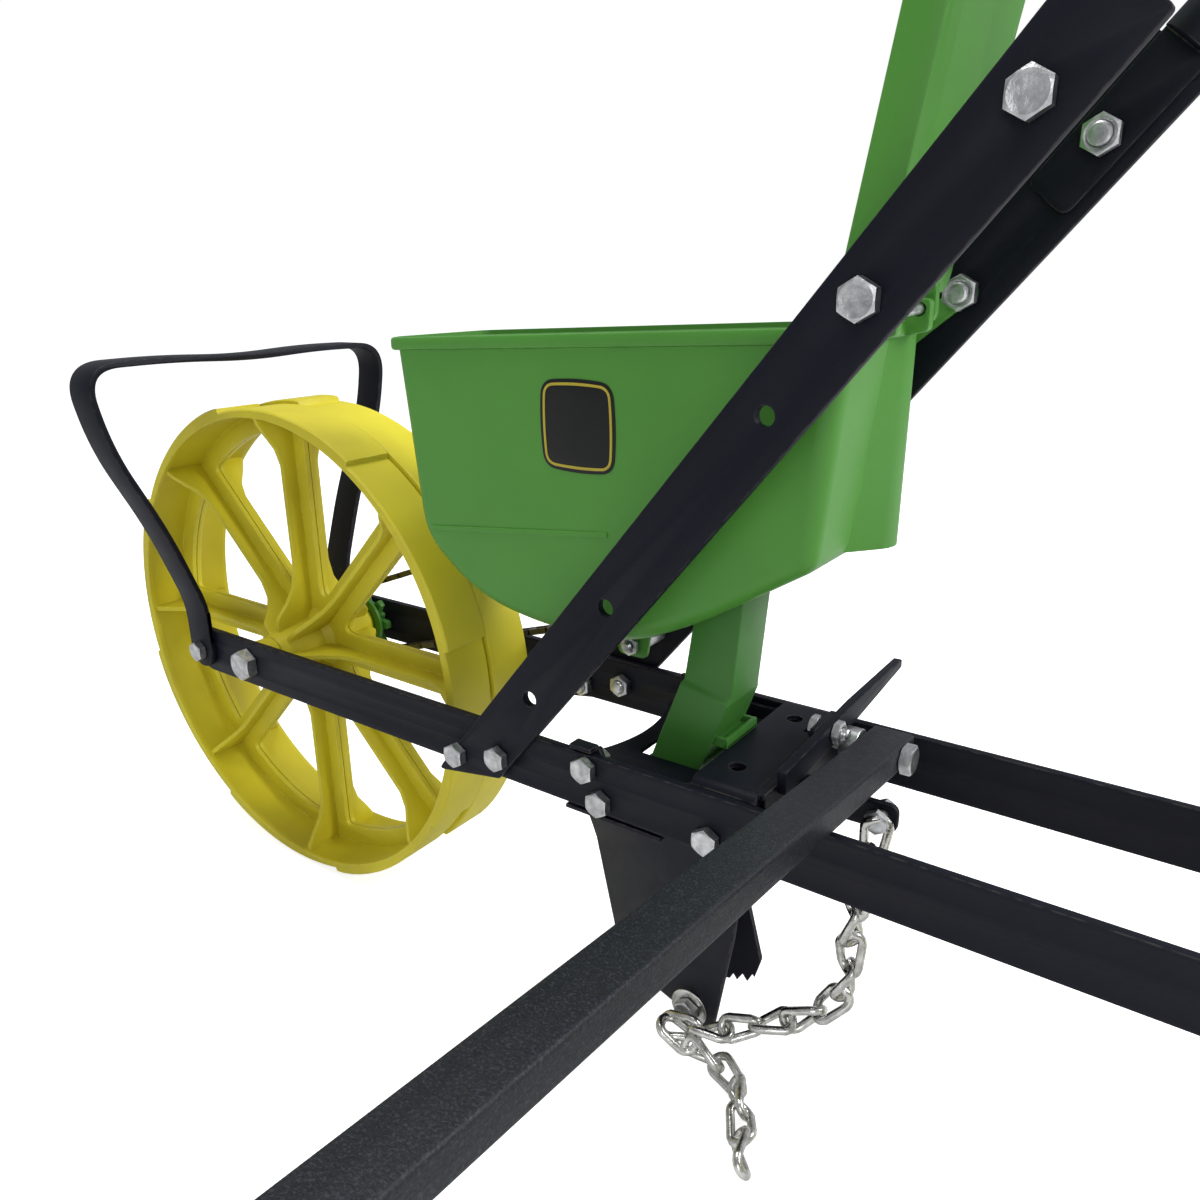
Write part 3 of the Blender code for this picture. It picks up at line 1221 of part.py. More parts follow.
def row_marker():
    half_x, half_z = (ARM_X[1] - ARM_X[0]) / 2, ARM_DEEP / 2
    outer = box("arm_outer", (-half_x, -ARM_ROOT, -half_z), (half_x, ARM_LENGTH, half_z))
    inner = box(
        "arm_inner", (-half_x + ARM_WALL, -ARM_ROOT - 5, -half_z + ARM_WALL),
        (half_x - ARM_WALL, ARM_LENGTH + 5, half_z - ARM_WALL),
    )
    bores = [
        inner,
        rod("arm_bore", (-60, 0, 0), (60, 0, 0), BOLT_3_8[0] + HOLE_ROOM, 14),
        rod("rod_bore", (0, ARM_LENGTH - ROD_BACK, -60), (0, ARM_LENGTH - ROD_BACK, 60), ROD_R + 0.4, 14),
    ]
    arm = combine("marker_arm", outer, bores, "DIFFERENCE", BLACK)
    tilt_arm(arm.data)
    tail = Vector((0.0, ARM_LENGTH - ROD_BACK, 0.0))
    turn = Matrix.Rotation(ARM_TILT, 3, "X")
    place = Vector(((ARM_X[0] + ARM_X[1]) / 2, ARM_PIVOT_Y, ARM_PIVOT_Z))
    spot = place + turn @ tail
    down = turn @ Vector((0, 0, -1))
    drop = (spot.z + WHEEL_R - ROD_R) / -down.z
    tip = spot + down * drop
    stem = rod("rod_stem", spot - down * 32.0, tip - down * 24.0, ROD_R, 14)
    point = sweep("rod_point", [tuple(tip - down * 30), tuple(tip - down * 8), tuple(tip)], ROD_R * 0.9, 2)
    seat = ARM_DEEP / 2 + 0.9
    collar = rod("rod_collar", spot + down * seat, spot + down * (seat + 8.6), 10.0, 16)
    upper = rod("rod_upper_collar", spot - down * (seat + 8.6), spot - down * seat, 10.0, 16)
    combine("marker_rod", stem, [point, collar, upper], "UNION", ZINC)

    flange_rear = BRACKET_REAR_X - SHEET
    middle_y, width = (STOP_Y[0] + STOP_Y[1]) / 2, STOP_Y[1] - STOP_Y[0]
    bar = plate(
        "stop_work", rounded([
            (-width / 2, -2.6), (73 - width / 2, -STOP_WIDTH / 2), (width / 2, -STOP_WIDTH / 2),
            (width / 2, STOP_WIDTH / 2), (73 - width / 2, STOP_WIDTH / 2), (-width / 2, 2.6),
        ], 2, 2),
        STOP_THICK, "YZ", flange_rear - GAP - STOP_THICK / 2,
    )
    middle_z = STOP_BOLT[1] - 1.6 + (STOP_BOLT[0] - middle_y) * math.tan(STOP_TILT)
    bar.data.transform(Matrix.Translation((0, middle_y * MM, middle_z * MM)) @ Matrix.Rotation(-STOP_TILT, 4, "X"))
    cuts = [
        rod("stop_pivot_bore", (-440, ARM_PIVOT_Y, ARM_PIVOT_Z), (-340, ARM_PIVOT_Y, ARM_PIVOT_Z), 10.0, 16),
        rod("stop_bolt_bore", (-440, *STOP_BOLT), (-340, *STOP_BOLT), BOLT_1_4[0] + HOLE_ROOM, 12),
    ]
    combine("marker_stop_bar", bar, cuts, "DIFFERENCE", BLACK)
    front = BRACKET_REAR_X + GAP
    rear = flange_rear - 2 * GAP - STOP_THICK
    washer = turned(
        "pivot_washer", [(9.5, rear - ARM_X[1] - 2 * GAP), (9.5, 0.0), (5.1, 0.0), (5.1, rear - ARM_X[1] - 2 * GAP)],
        (0, 0, 0), 18,
    )
    washer.data.transform(
        Matrix.Translation(Vector((ARM_X[1] + GAP, ARM_PIVOT_Y, ARM_PIVOT_Z)) * MM)
        @ Matrix.Rotation(-math.pi / 2, 4, "Z")
    )
    finished(washer, "pivot_washer", ZINC)
    y, z = ARM_PIVOT_Y, ARM_PIVOT_Z
    bolt("marker_pivot_bolt", BOLT_3_8, (ARM_X[0] - GAP, y, z), (front + 9, y, z), (front, y, z))
    y, z = STOP_BOLT
    bolt("stop_bar_bolt", BOLT_1_4, (front, y, z), (rear + GAP - 8.0, y, z), (rear, y, z))
    chain_hanger()


HANGER_PIN = (-429.0, -3.0)


def chain_hanger():
    """A bent tab behind the flange that the drag chain's upper end is bolted to."""
    face = BRACKET_REAR_X - SHEET - GAP
    x, z = HANGER_PIN
    foot = box("hanger_foot", (face - SHEET, -3, -12), (face, 26, 6))
    leg = plate(
        "hanger_leg", rounded([(face, -12), (face, 4), (x - 8, 4), (x - 8, z - 8)], 4, 3), SHEET, "XZ", -1.5,
    )
    body = combine("hanger_body", foot, [leg], "UNION", None)
    bore = rod("hanger_bore", (x, -20, z), (x, 20, z), BOLT_1_4[0] + HOLE_ROOM, 12)
    combine("chain_hanger", body, [bore], "DIFFERENCE", BLACK)


# ---------------------------------------------------------------- drag chain

CHAIN_LOOP = (
    (-338.0, 38.6, -152.5), (-350.0, 38.0, -153.0), (-366.0, 32.0, -146.0), (-380.0, 27.0, -140.0),
    (-394.0, 20.5, -132.0), (-410.0, 13.5, -122.0), (-420.0, 10.0, -106.0), (-423.0, 9.5, -86.0),
    (-423.5, 9.5, -62.0), (-426.0, 9.0, -38.0), (-429.0, 7.5, -16.0),
)
CHAIN_TAIL = (
    (-333.3, 40.95, -155.63), (-336.0, 47.0, -165.5), (-350.0, 46.0, -169.7), (-366.0, 42.0, -169.7),
    (-379.0, 46.0, -169.7), (-386.0, 58.0, -169.7), (-395.0, 69.0, -169.7), (-400.0, 82.0, -169.7),
)


def drag_chain():
    """Plain tubes where the chain hangs and lies, with the bolts that hold its two ends."""
    sweep("drag_chain", smooth_path(CHAIN_LOOP, 3), CHAIN_TUBE_R, 2, ZINC)
    sweep("drag_chain_tail", smooth_path(CHAIN_TAIL, 3), CHAIN_TUBE_R, 2, ZINC)
    x, z = CHAIN_BOLT
    wall = shoe_wall_y(x, z)
    bolt(
        "chain_shoe_bolt", BOLT_5_16, (x, wall + 6.6, z), (x, wall - 16.5, z), (x, wall - 10.0, z),
    )
    x, z = HANGER_PIN
    bolt("chain_hanger_bolt", BOLT_1_4, (x, 5.2, z), (x, -3.4 - 6, z), (x, -3.4, z))


# ---------------------------------------------------------------- put it together


def stand_on_origin():
    """Sets the wheels on Z = 0, with the middle of the whole box over the zero point."""
    bpy.context.view_layer.update()
    graph = bpy.context.evaluated_depsgraph_get()
    low, high = Vector((1e9,) * 3), Vector((-1e9,) * 3)
    for obj in planter.objects:
        if obj.type == "EMPTY":
            continue
        mesh = obj.evaluated_get(graph).to_mesh()
        for vert in mesh.vertices:
            spot = obj.matrix_world @ vert.co
            low = Vector(map(min, low, spot))
            high = Vector(map(max, high, spot))
        obj.evaluated_get(graph).to_mesh_clear()
    root.location = (-(low.x + high.x) / 2, -(low.y + high.y) / 2, -low.z)


def main():
    side_bars()
    wheel_arch()
    front_wheel()
    handles()
    opener()
    hopper()
    press_wheel()
    row_marker()
    drag_chain()
    stand_on_origin()
    for obj in planter.objects:
        if obj.type == "MESH":
            obj.data.shade_smooth()
            obj.data.set_sharp_from_angle(angle=math.radians(32))
    print("root offset in millimetres:", [round(v / MM, 3) for v in root.location])


main()
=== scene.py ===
import math

import bmesh
import bpy
from mathutils import Matrix, Vector


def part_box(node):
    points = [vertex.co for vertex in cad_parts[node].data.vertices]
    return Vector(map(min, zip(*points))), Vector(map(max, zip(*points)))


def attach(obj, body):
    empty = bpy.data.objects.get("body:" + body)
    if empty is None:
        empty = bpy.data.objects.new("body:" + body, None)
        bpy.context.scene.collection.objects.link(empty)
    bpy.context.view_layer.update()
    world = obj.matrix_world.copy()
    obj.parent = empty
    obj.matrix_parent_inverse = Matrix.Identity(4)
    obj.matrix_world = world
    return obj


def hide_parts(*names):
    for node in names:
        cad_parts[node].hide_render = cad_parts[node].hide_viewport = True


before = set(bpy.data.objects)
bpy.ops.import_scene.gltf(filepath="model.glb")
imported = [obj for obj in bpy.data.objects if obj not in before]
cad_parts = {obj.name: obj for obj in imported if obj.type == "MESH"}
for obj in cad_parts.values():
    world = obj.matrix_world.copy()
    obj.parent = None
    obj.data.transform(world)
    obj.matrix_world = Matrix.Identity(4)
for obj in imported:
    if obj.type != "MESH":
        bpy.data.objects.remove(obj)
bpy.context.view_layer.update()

# Pieces are drawn in millimetres from the centre of the front axle, +X forward, +Y to the operator's left.
# The near bar's front end and outer face lie this far from that centre, in metres.
barReach = {"front": 0.062, "out": 0.06024}
barLow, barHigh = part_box("near_side_bar")
axle = Vector((barHigh.x - barReach["front"], barHigh.y - barReach["out"], (barLow.z + barHigh.z) / 2))
toWorld = Matrix.Translation(axle) @ Matrix.Scale(0.001, 4)
print("frame loaded, front axle at", [round(v, 4) for v in axle])

# Paints and metals.


def addNode(tree, kind, **settings):
    node = tree.nodes.new(kind)
    for key, value in settings.items():
        setattr(node, key, value)
    return node


def noiseNode(tree, coordinates, scale, detail, roughness=0.5):
    node = addNode(tree, "ShaderNodeTexNoise")
    node.inputs["Scale"].default_value = scale
    node.inputs["Detail"].default_value = detail
    node.inputs["Roughness"].default_value = roughness
    tree.links.new(coordinates, node.inputs["Vector"])
    return node.outputs["Fac"]


def rampNode(tree, value, stops):
    node = addNode(tree, "ShaderNodeValToRGB")
    while len(node.color_ramp.elements) < len(stops):
        node.color_ramp.elements.new(0.5)
    for element, (place, colour) in zip(node.color_ramp.elements, stops):
        element.position = place
        element.color = (*colour, 1.0)
    tree.links.new(value, node.inputs["Fac"])
    return node.outputs["Color"]


def timesNode(tree, first, second):
    node = addNode(tree, "ShaderNodeMath", operation="MULTIPLY")
    tree.links.new(first, node.inputs[0])
    if isinstance(second, float):
        node.inputs[1].default_value = second
    else:
        tree.links.new(second, node.inputs[1])
    return node.outputs["Value"]


def mixNode(tree, share, under, over):
    node = addNode(tree, "ShaderNodeMix", data_type="RGBA")
    tree.links.new(share, node.inputs["Factor"])
    tree.links.new(under, node.inputs["A"])
    node.inputs["B"].default_value = (*over, 1.0)
    return node.outputs["Result"]


# Where the edge wear and painted edge highlight start and are full: agreement of the two normals, how far the surface
# stands out, the noise.
wearAndSheenMask = {"radius": 0.0012, "edge": (0.80, 0.99), "raised": (0.495, 0.52), "broken": (0.42, 0.60)}
black, white = (0, 0, 0), (1, 1, 1)


def finishOf(name, look):
    # A paint or metal: two tones that drift slowly, lighter outer edges that are partly wear and partly a painted
    # highlight, a varying roughness and a fine surface grain.
    made = bpy.data.materials.new(name)
    made.use_nodes = True
    tree = made.node_tree
    shader = tree.nodes["Principled BSDF"]
    coordinates = addNode(tree, "ShaderNodeTexCoord").outputs["Object"]
    drift = noiseNode(tree, coordinates, look["drift"], 3.0)
    colour = rampNode(tree, drift, [(0.28, look["dark"]), (0.72, look["light"])])
    if "fleck" in look:
        speck = noiseNode(tree, coordinates, look["fleckScale"], 2.0)
        mask = rampNode(tree, speck, [(look["fleckFrom"], black), (look["fleckFrom"] + 0.06, white)])
        colour = mixNode(tree, mask, colour, look["fleck"])
    # Edge wear and painted edge highlight keep to outer edges: where a softened normal leaves the real one and the
    # surface stands out.
    shape = addNode(tree, "ShaderNodeNewGeometry")
    soft = addNode(tree, "ShaderNodeBevel", samples=4)
    soft.inputs["Radius"].default_value = wearAndSheenMask["radius"]
    agree = addNode(tree, "ShaderNodeVectorMath", operation="DOT_PRODUCT")
    tree.links.new(soft.outputs["Normal"], agree.inputs[0])
    tree.links.new(shape.outputs["Normal"], agree.inputs[1])
    edge = rampNode(tree, agree.outputs["Value"], list(zip(wearAndSheenMask["edge"], (white, black))))
    raised = rampNode(tree, shape.outputs["Pointiness"], list(zip(wearAndSheenMask["raised"], (black, white))))
    patches = noiseNode(tree, coordinates, look["wearAndSheenScale"], 4.0)
    broken = rampNode(tree, patches, list(zip(wearAndSheenMask["broken"], (black, white))))
    share = timesNode(tree, timesNode(tree, edge, raised), broken)
    share = timesNode(tree, share, look["wearAndSheenShare"])
    # Lightens outer edges with the finish's edge colour: partly wear, partly a painted highlight along the edges.
    colour = mixNode(tree, share, colour, look["wearAndSheen"])
    tree.links.new(colour, shader.inputs["Base Color"])
    rough = addNode(tree, "ShaderNodeMapRange")
    tree.links.new(noiseNode(tree, coordinates, look["roughScale"], 4.0), rough.inputs["Value"])
    rough.inputs["To Min"].default_value = look["rough"][0]
    rough.inputs["To Max"].default_value = look["rough"][1]
    tree.links.new(rough.outputs["Result"], shader.inputs["Roughness"])
    shader.inputs["Metallic"].default_value = look.get("metal", 0.0)
    shader.inputs["Specular IOR Level"].default_value = look.get("specular", 0.5)
    normal = None
    for scale, strength, distance in look["grain"]:
        bump = addNode(tree, "ShaderNodeBump")
        bump.inputs["Strength"].default_value = strength
        bump.inputs["Distance"].default_value = distance
        tree.links.new(noiseNode(tree, coordinates, scale, 3.0, 0.6), bump.inputs["Height"])
        if normal:
            tree.links.new(normal, bump.inputs["Normal"])
        normal = bump.outputs["Normal"]
    tree.links.new(normal, shader.inputs["Normal"])
    return made


# Each finish's edge colour is a lighter tone of it: partly wear, partly a painted highlight along outer edges.
paints = {
    "greenEnamel": {
        "light": (0.085, 0.3, 0.04), "dark": (0.07, 0.255, 0.034), "wearAndSheen": (0.16, 0.42, 0.09),
        "wearAndSheenScale": 120.0, "wearAndSheenShare": 0.5, "drift": 9.0, "rough": (0.34, 0.46), "roughScale": 30.0,
        "specular": 0.35, "grain": [(220.0, 0.05, 0.0008), (1400.0, 0.04, 0.0002)],
    },
    "greenPlastic": {
        "light": (0.05, 0.195, 0.028), "dark": (0.036, 0.148, 0.021), "wearAndSheen": (0.13, 0.33, 0.07),
        "wearAndSheenScale": 140.0, "wearAndSheenShare": 0.5, "drift": 14.0, "rough": (0.38, 0.5), "roughScale": 50.0,
        "specular": 0.4, "grain": [(260.0, 0.06, 0.0008)],
    },
    "yellowEnamel": {
        "light": (0.7, 0.615, 0.028), "dark": (0.52, 0.44, 0.022), "wearAndSheen": (0.86, 0.8, 0.2),
        "wearAndSheenScale": 110.0, "wearAndSheenShare": 0.5, "drift": 11.0, "rough": (0.42, 0.56), "roughScale": 40.0,
        "specular": 0.35, "grain": [(160.0, 0.06, 0.001), (1200.0, 0.05, 0.0002)],
    },
    "blackCoat": {
        "light": (0.004, 0.0046, 0.0125), "dark": (0.0026, 0.0031, 0.0085), "wearAndSheen": (0.15, 0.13, 0.112),
        "wearAndSheenScale": 160.0, "wearAndSheenShare": 0.6, "drift": 16.0, "rough": (0.46, 0.6), "roughScale": 60.0,
        "specular": 0.22, "grain": [(1500.0, 0.12, 0.0003), (240.0, 0.03, 0.0006)],
    },
    "blackTexture": {
        "light": (0.006, 0.0068, 0.0125), "dark": (0.0042, 0.0048, 0.0088), "wearAndSheen": (0.06, 0.062, 0.07),
        "wearAndSheenScale": 200.0, "wearAndSheenShare": 0.6, "drift": 22.0, "rough": (0.44, 0.62), "roughScale": 300.0,
        "specular": 0.4, "grain": [(750.0, 0.5, 0.0006), (2200.0, 0.2, 0.0002)],
        "fleck": (0.021, 0.024, 0.033), "fleckScale": 1100.0, "fleckFrom": 0.56,
    },
    "chainZinc": {
        "light": (0.86, 0.86, 0.83), "dark": (0.42, 0.41, 0.38), "wearAndSheen": (0.92, 0.92, 0.9), "wearAndSheenScale": 400.0,
        "wearAndSheenShare": 0.6, "drift": 160.0, "rough": (0.14, 0.34), "roughScale": 260.0, "metal": 1.0,
        "grain": [(420.0, 0.3, 0.0006)],
    },
    "zincPlate": {
        "light": (0.74, 0.74, 0.75), "dark": (0.38, 0.39, 0.4), "wearAndSheen": (0.82, 0.82, 0.82), "wearAndSheenScale": 400.0,
        "wearAndSheenShare": 0.6, "drift": 210.0, "rough": (0.24, 0.5), "roughScale": 260.0, "metal": 1.0,
        "grain": [(420.0, 0.5, 0.0006), (90.0, 0.2, 0.0008)],
    },
    "darkSteel": {
        "light": (0.16, 0.155, 0.15), "dark": (0.07, 0.066, 0.062), "wearAndSheen": (0.34, 0.33, 0.32),
        "wearAndSheenScale": 300.0, "wearAndSheenShare": 0.6, "drift": 90.0, "rough": (0.34, 0.55), "roughScale": 200.0,
        "metal": 1.0, "grain": [(600.0, 0.2, 0.0004)],
    },
    "seedPlastic": {
        "light": (0.62, 0.56, 0.43), "dark": (0.54, 0.48, 0.35), "wearAndSheen": (0.72, 0.68, 0.56),
        "wearAndSheenScale": 160.0, "wearAndSheenShare": 0.4, "drift": 60.0, "rough": (0.45, 0.6), "roughScale": 120.0,
        "grain": [(400.0, 0.1, 0.0004)],
    },
    "gripRubber": {
        "light": (0.014, 0.014, 0.015), "dark": (0.008, 0.008, 0.009), "wearAndSheen": (0.03, 0.03, 0.031),
        "wearAndSheenScale": 200.0, "wearAndSheenShare": 0.5, "drift": 40.0, "rough": (0.6, 0.8), "roughScale": 90.0,
        "specular": 0.3, "grain": [(900.0, 0.3, 0.0005)],
    },
    "badgeInk": {
        "light": (0.0085, 0.0095, 0.0085), "dark": (0.006, 0.0065, 0.006), "wearAndSheen": (0.016, 0.017, 0.017),
        "wearAndSheenScale": 200.0, "wearAndSheenShare": 0.3, "drift": 30.0, "rough": (0.35, 0.45), "roughScale": 60.0,
        "specular": 0.3, "grain": [(300.0, 0.04, 0.0004)],
    },
    "badgeLine": {
        "light": (0.5, 0.4, 0.03), "dark": (0.42, 0.33, 0.02), "wearAndSheen": (0.6, 0.5, 0.06), "wearAndSheenScale": 200.0,
        "wearAndSheenShare": 0.3, "drift": 30.0, "rough": (0.36, 0.46), "roughScale": 60.0,
        "grain": [(300.0, 0.04, 0.0004)],
    },
}
finishes = {name: finishOf(name, look) for name, look in paints.items()}
print("paints ready:", len(finishes))

# Drawing helpers.


def meshFrom(bm, name="part"):
    mesh = bpy.data.meshes.new(name)
    bm.to_mesh(mesh)
    bm.free()
    return mesh


def evaluated(obj):
    bpy.context.view_layer.update()
    return bpy.data.meshes.new_from_object(obj.evaluated_get(bpy.context.evaluated_depsgraph_get()))


def workObject(data, name="work"):
    made = bpy.data.objects.new(name, data)
    bpy.context.scene.collection.objects.link(made)
    return made


def outwards(mesh, merge=1e-4):
    bm = bmesh.new()
    bm.from_mesh(mesh)
    bmesh.ops.remove_doubles(bm, verts=bm.verts, dist=merge)
    bmesh.ops.recalc_face_normals(bm, faces=bm.faces)
    bm.to_mesh(mesh)
    bm.free()
    return mesh


def joined(meshes):
    bm = bmesh.new()
    for mesh in meshes:
        bm.from_mesh(mesh)
    return meshFrom(bm)


def moved(mesh, matrix):
    copy = mesh.copy()
    copy.transform(matrix)
    if matrix.determinant() < 0:
        copy.flip_normals()
    return copy


mirrorY = Matrix.Scale(-1, 4, (0, 1, 0))


def piece(name, meshes, finish, body, *nodes, sharp=33):
    # Joins the meshes into one piece in world metres and ties it to its body.
    mesh = joined(meshes if isinstance(meshes, (list, tuple)) else [meshes])
    mesh.transform(toWorld)
    mesh.materials.clear()
    mesh.materials.append(finishes[finish])
    mesh.shade_smooth()
    mesh.set_sharp_from_angle(angle=math.radians(sharp))
    made = workObject(mesh, name)
    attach(made, body)
    if nodes:
        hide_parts(*nodes)


def pieceAndMirror(name, meshes, finish):
    # One piece on the near side of the frame and its mirror image on the far side.
    piece(f"near_{name}_piece", meshes, finish, "frame", f"near_{name}")
    piece(f"far_{name}_piece", [moved(m, mirrorY) for m in meshes], finish, "frame", f"far_{name}")


def onCircle(angle, radius):
    return radius * math.cos(angle), radius * math.sin(angle)


def circle(centre, radius, count=40):
    turns = (onCircle(2 * math.pi * i / count, radius) for i in range(count))
    return [(centre[0] + u, centre[1] + v) for u, v in turns]


def rectangle(left, low, right, high):
    return [(left, low), (right, low), (right, high), (left, high)]


def rounded(points, radius, steps=6):
    # A polygon with its corners turned into arcs, no wider than its neighbours allow.
    made = []
    for i, corner in enumerate(points):
        here = Vector(corner)
        before = Vector(points[i - 1]) - here
        after = Vector(points[(i + 1) % len(points)]) - here
        half = before.angle(after) / 2
        if half > math.radians(88):
            made.append(tuple(corner))
            continue
        reach = min(radius / math.tan(half), before.length * 0.49, after.length * 0.49)
        start, end = here + before.normalized() * reach, here + after.normalized() * reach
        for k in range(steps + 1):
            t = k / steps
            made.append(tuple(start * (1 - t) ** 2 + here * 2 * t * (1 - t) + end * t**2))
    return made


def filletPath(points, radius, steps=10):
    made = [tuple(points[0])]
    for before, here, after in zip(points, points[1:], points[2:]):
        here, back, ahead = Vector(here), Vector(before) - Vector(here), Vector(after) - Vector(here)
        reach = min(radius, back.length * 0.49, ahead.length * 0.49)
        start, end = here + back.normalized() * reach, here + ahead.normalized() * reach
        for k in range(steps + 1):
            t = k / steps
            made.append(tuple(start * (1 - t) ** 2 + here * 2 * t * (1 - t) + end * t**2))
    made.append(tuple(points[-1]))
    return made


def smoothPath(points, steps):
    # Points along a curve that passes through the given ones.
    pts = [Vector(p) for p in points]
    pts = [pts[0] * 2 - pts[1], *pts, pts[-1] * 2 - pts[-2]]
    made = []
    for a, b, c, d in zip(pts, pts[1:], pts[2:], pts[3:]):
        for k in range(steps):
            t = k / steps
            bend, twist = 2 * a - 5 * b + 4 * c - d, 3 * b - a - 3 * c + d
            made.append(0.5 * (2 * b + (c - a) * t + bend * t**2 + twist * t**3))
    made.append(pts[-2])
    return made


def strapOutline(path, thick):
    path = [Vector(p) for p in path]
    sides = ([], [])
    for i, here in enumerate(path):
        along = (path[min(i + 1, len(path) - 1)] - path[max(i - 1, 0)]).normalized()
        normal = Vector((-along.y, along.x))
        sides[0].append(tuple(here + normal * thick / 2))
        sides[1].append(tuple(here - normal * thick / 2))
    return sides[0] + sides[1][::-1]


planes = {
    "xz": Matrix(((1, 0, 0, 0), (0, 0, 1, 0), (0, 1, 0, 0), (0, 0, 0, 1))),
    "yz": Matrix(((0, 0, 1, 0), (1, 0, 0, 0), (0, 1, 0, 0), (0, 0, 0, 1))),
    "xy": Matrix.Identity(4),
}


def signedArea(points):
    return sum(a[0] * b[1] - b[0] * a[1] for a, b in zip(points, [*points[1:], points[0]])) / 2


def plate(outline, thick, plane, middle, holes=(), edge=0.5):
    # A flat shape with holes and softened edges, thick/2 to each side of middle.
    curve = bpy.data.curves.new("plate", "CURVE")
    curve.dimensions = "2D"
    curve.fill_mode = "BOTH"
    curve.extrude = thick / 2 - edge
    curve.bevel_depth = edge
    curve.bevel_resolution = 1
    curve.offset = -edge
    for index, points in enumerate((outline, *holes)):
        points = list(points)
        if (signedArea(points) > 0) == (index > 0):
            points.reverse()
        spline = curve.splines.new("POLY")
        spline.points.add(len(points) - 1)
        for point, (u, v) in zip(spline.points, points):
            point.co = (u, v, 0, 1)
        spline.use_cyclic_u = True
    work = workObject(curve)
    mesh = evaluated(work)
    bpy.data.objects.remove(work, do_unlink=True)
    mesh.transform(planes[plane] @ Matrix.Translation((0, 0, middle)))
    return outwards(mesh)


def lathe(profile, place=(0, 0, 0), steps=64):
    # A closed profile of (radius, along Y), turned about Y and set at its place.
    bm = bmesh.new()
    rings = []
    for radius, along in profile:
        if radius < 1e-6:
            rings.append([bm.verts.new((0, along, 0))] * steps)
        else:
            turns = (onCircle(2 * math.pi * k / steps, radius) for k in range(steps))
            rings.append([bm.verts.new((x, along, z)) for x, z in turns])
    for ring, after in zip(rings, [*rings[1:], rings[0]]):
        for k in range(steps):
            corners = list(dict.fromkeys((ring[k], ring[(k + 1) % steps], after[(k + 1) % steps], after[k])))
            if len(corners) > 2:
                bm.faces.new(corners)
    bm.transform(Matrix.Translation(place))
    return outwards(meshFrom(bm))


def collar(outer, inner, low, high, soft=0.6, steps=3):
    # The profile of a tube or washer with softened edges, for lathe.
    return rounded([(outer, low), (outer, high), (inner, high), (inner, low)], soft, steps)


def sweep(path, outline, closed=False):
    # The outline (across, up) carried along a path without twisting.
    path = [Vector(p) for p in path]
    count = len(path)
    bm = bmesh.new()
    rings, up = [], None
    for i, here in enumerate(path):
        if closed:
            along = (path[(i + 1) % count] - path[i - 1]).normalized()
        else:
            along = (path[min(i + 1, count - 1)] - path[max(i - 1, 0)]).normalized()
        if up is None:
            up = Vector((0, 0, 1)) if abs(along.z) < 0.9 else Vector((1, 0, 0))
        up = (up - along * up.dot(along)).normalized()
        across = along.cross(up)
        rings.append([bm.verts.new(here + across * u + up * v) for u, v in outline])
    size = len(outline)
    pairs = list(zip(rings, rings[1:])) + ([(rings[-1], rings[0])] if closed else [])
    for ring, after in pairs:
        for k in range(size):
            bm.faces.new((ring[k], ring[(k + 1) % size], after[(k + 1) % size], after[k]))
    if not closed:
        bm.faces.new(rings[0][::-1])
        bm.faces.new(rings[-1])
    return outwards(meshFrom(bm))


def block(low, high, edge=0.5):
    low, high = Vector(low), Vector(high)
    size = high - low
    bm = bmesh.new()
    bmesh.ops.create_cube(bm, size=1.0)
    bmesh.ops.scale(bm, vec=size, verts=bm.verts)
    bmesh.ops.translate(bm, vec=(low + high) / 2, verts=bm.verts)
    bmesh.ops.bevel(
        bm, geom=bm.edges[:], offset=min(edge, min(size) * 0.3), segments=2, profile=0.7, affect="EDGES",
        clamp_overlap=True,
    )
    return outwards(meshFrom(bm))


def between(start, end):
    # Turns a shape drawn along +Y into the line from start to end, at start.
    start, end = Vector(start), Vector(end)
    return Matrix.Translation(start) @ (end - start).to_track_quat("Y", "Z").to_matrix().to_4x4()


def roundBar(start, end, radius, steps=32, edge=0.6):
    length = (Vector(end) - Vector(start)).length
    profile = [
        (0, 0), (radius - edge, 0), (radius, edge), (radius, length - edge), (radius - edge, length), (0, length),
    ]
    mesh = lathe(profile, steps=steps)
    mesh.transform(between(start, end))
    return mesh


def cutter(radius, length, axis="z"):
    bm = bmesh.new()
    bmesh.ops.create_cone(bm, cap_ends=True, segments=32, radius1=radius, radius2=radius, depth=length)
    if axis == "x":
        bm.transform(Matrix.Rotation(math.pi / 2, 4, "Y"))
    if axis == "y":
        bm.transform(Matrix.Rotation(math.pi / 2, 4, "X"))
    return meshFrom(bm)


def cutterAt(place, radius, length, axis="z"):
    return moved(cutter(radius, length, axis), Matrix.Translation(place))


def pierced(mesh, cutters):
    # Cuts the given shapes out of a mesh.
    base = workObject(mesh)
    used = [workObject(m) for m in cutters]
    for other in used:
        step = base.modifiers.new("cut", "BOOLEAN")
        step.operation = "DIFFERENCE"
        step.object = other
        step.solver = "EXACT"
    made = evaluated(base)
    for obj in (base, *used):
        bpy.data.objects.remove(obj, do_unlink=True)
    return made


def sheetOf(bm, thick, offset, edge, segments, angle):
    # Gives bare faces a thickness and softens the edges sharper than the angle.
    work = workObject(meshFrom(bm))
    wall = work.modifiers.new("sheet", "SOLIDIFY")
    wall.thickness, wall.offset, wall.use_even_offset = thick, offset, True
    soft = work.modifiers.new("edges", "BEVEL")
    soft.width, soft.segments, soft.limit_method, soft.angle_limit = edge, segments, "ANGLE", math.radians(angle)
    made = evaluated(work)
    bpy.data.objects.remove(work, do_unlink=True)
    return outwards(made)


# Node trees for what repeats.


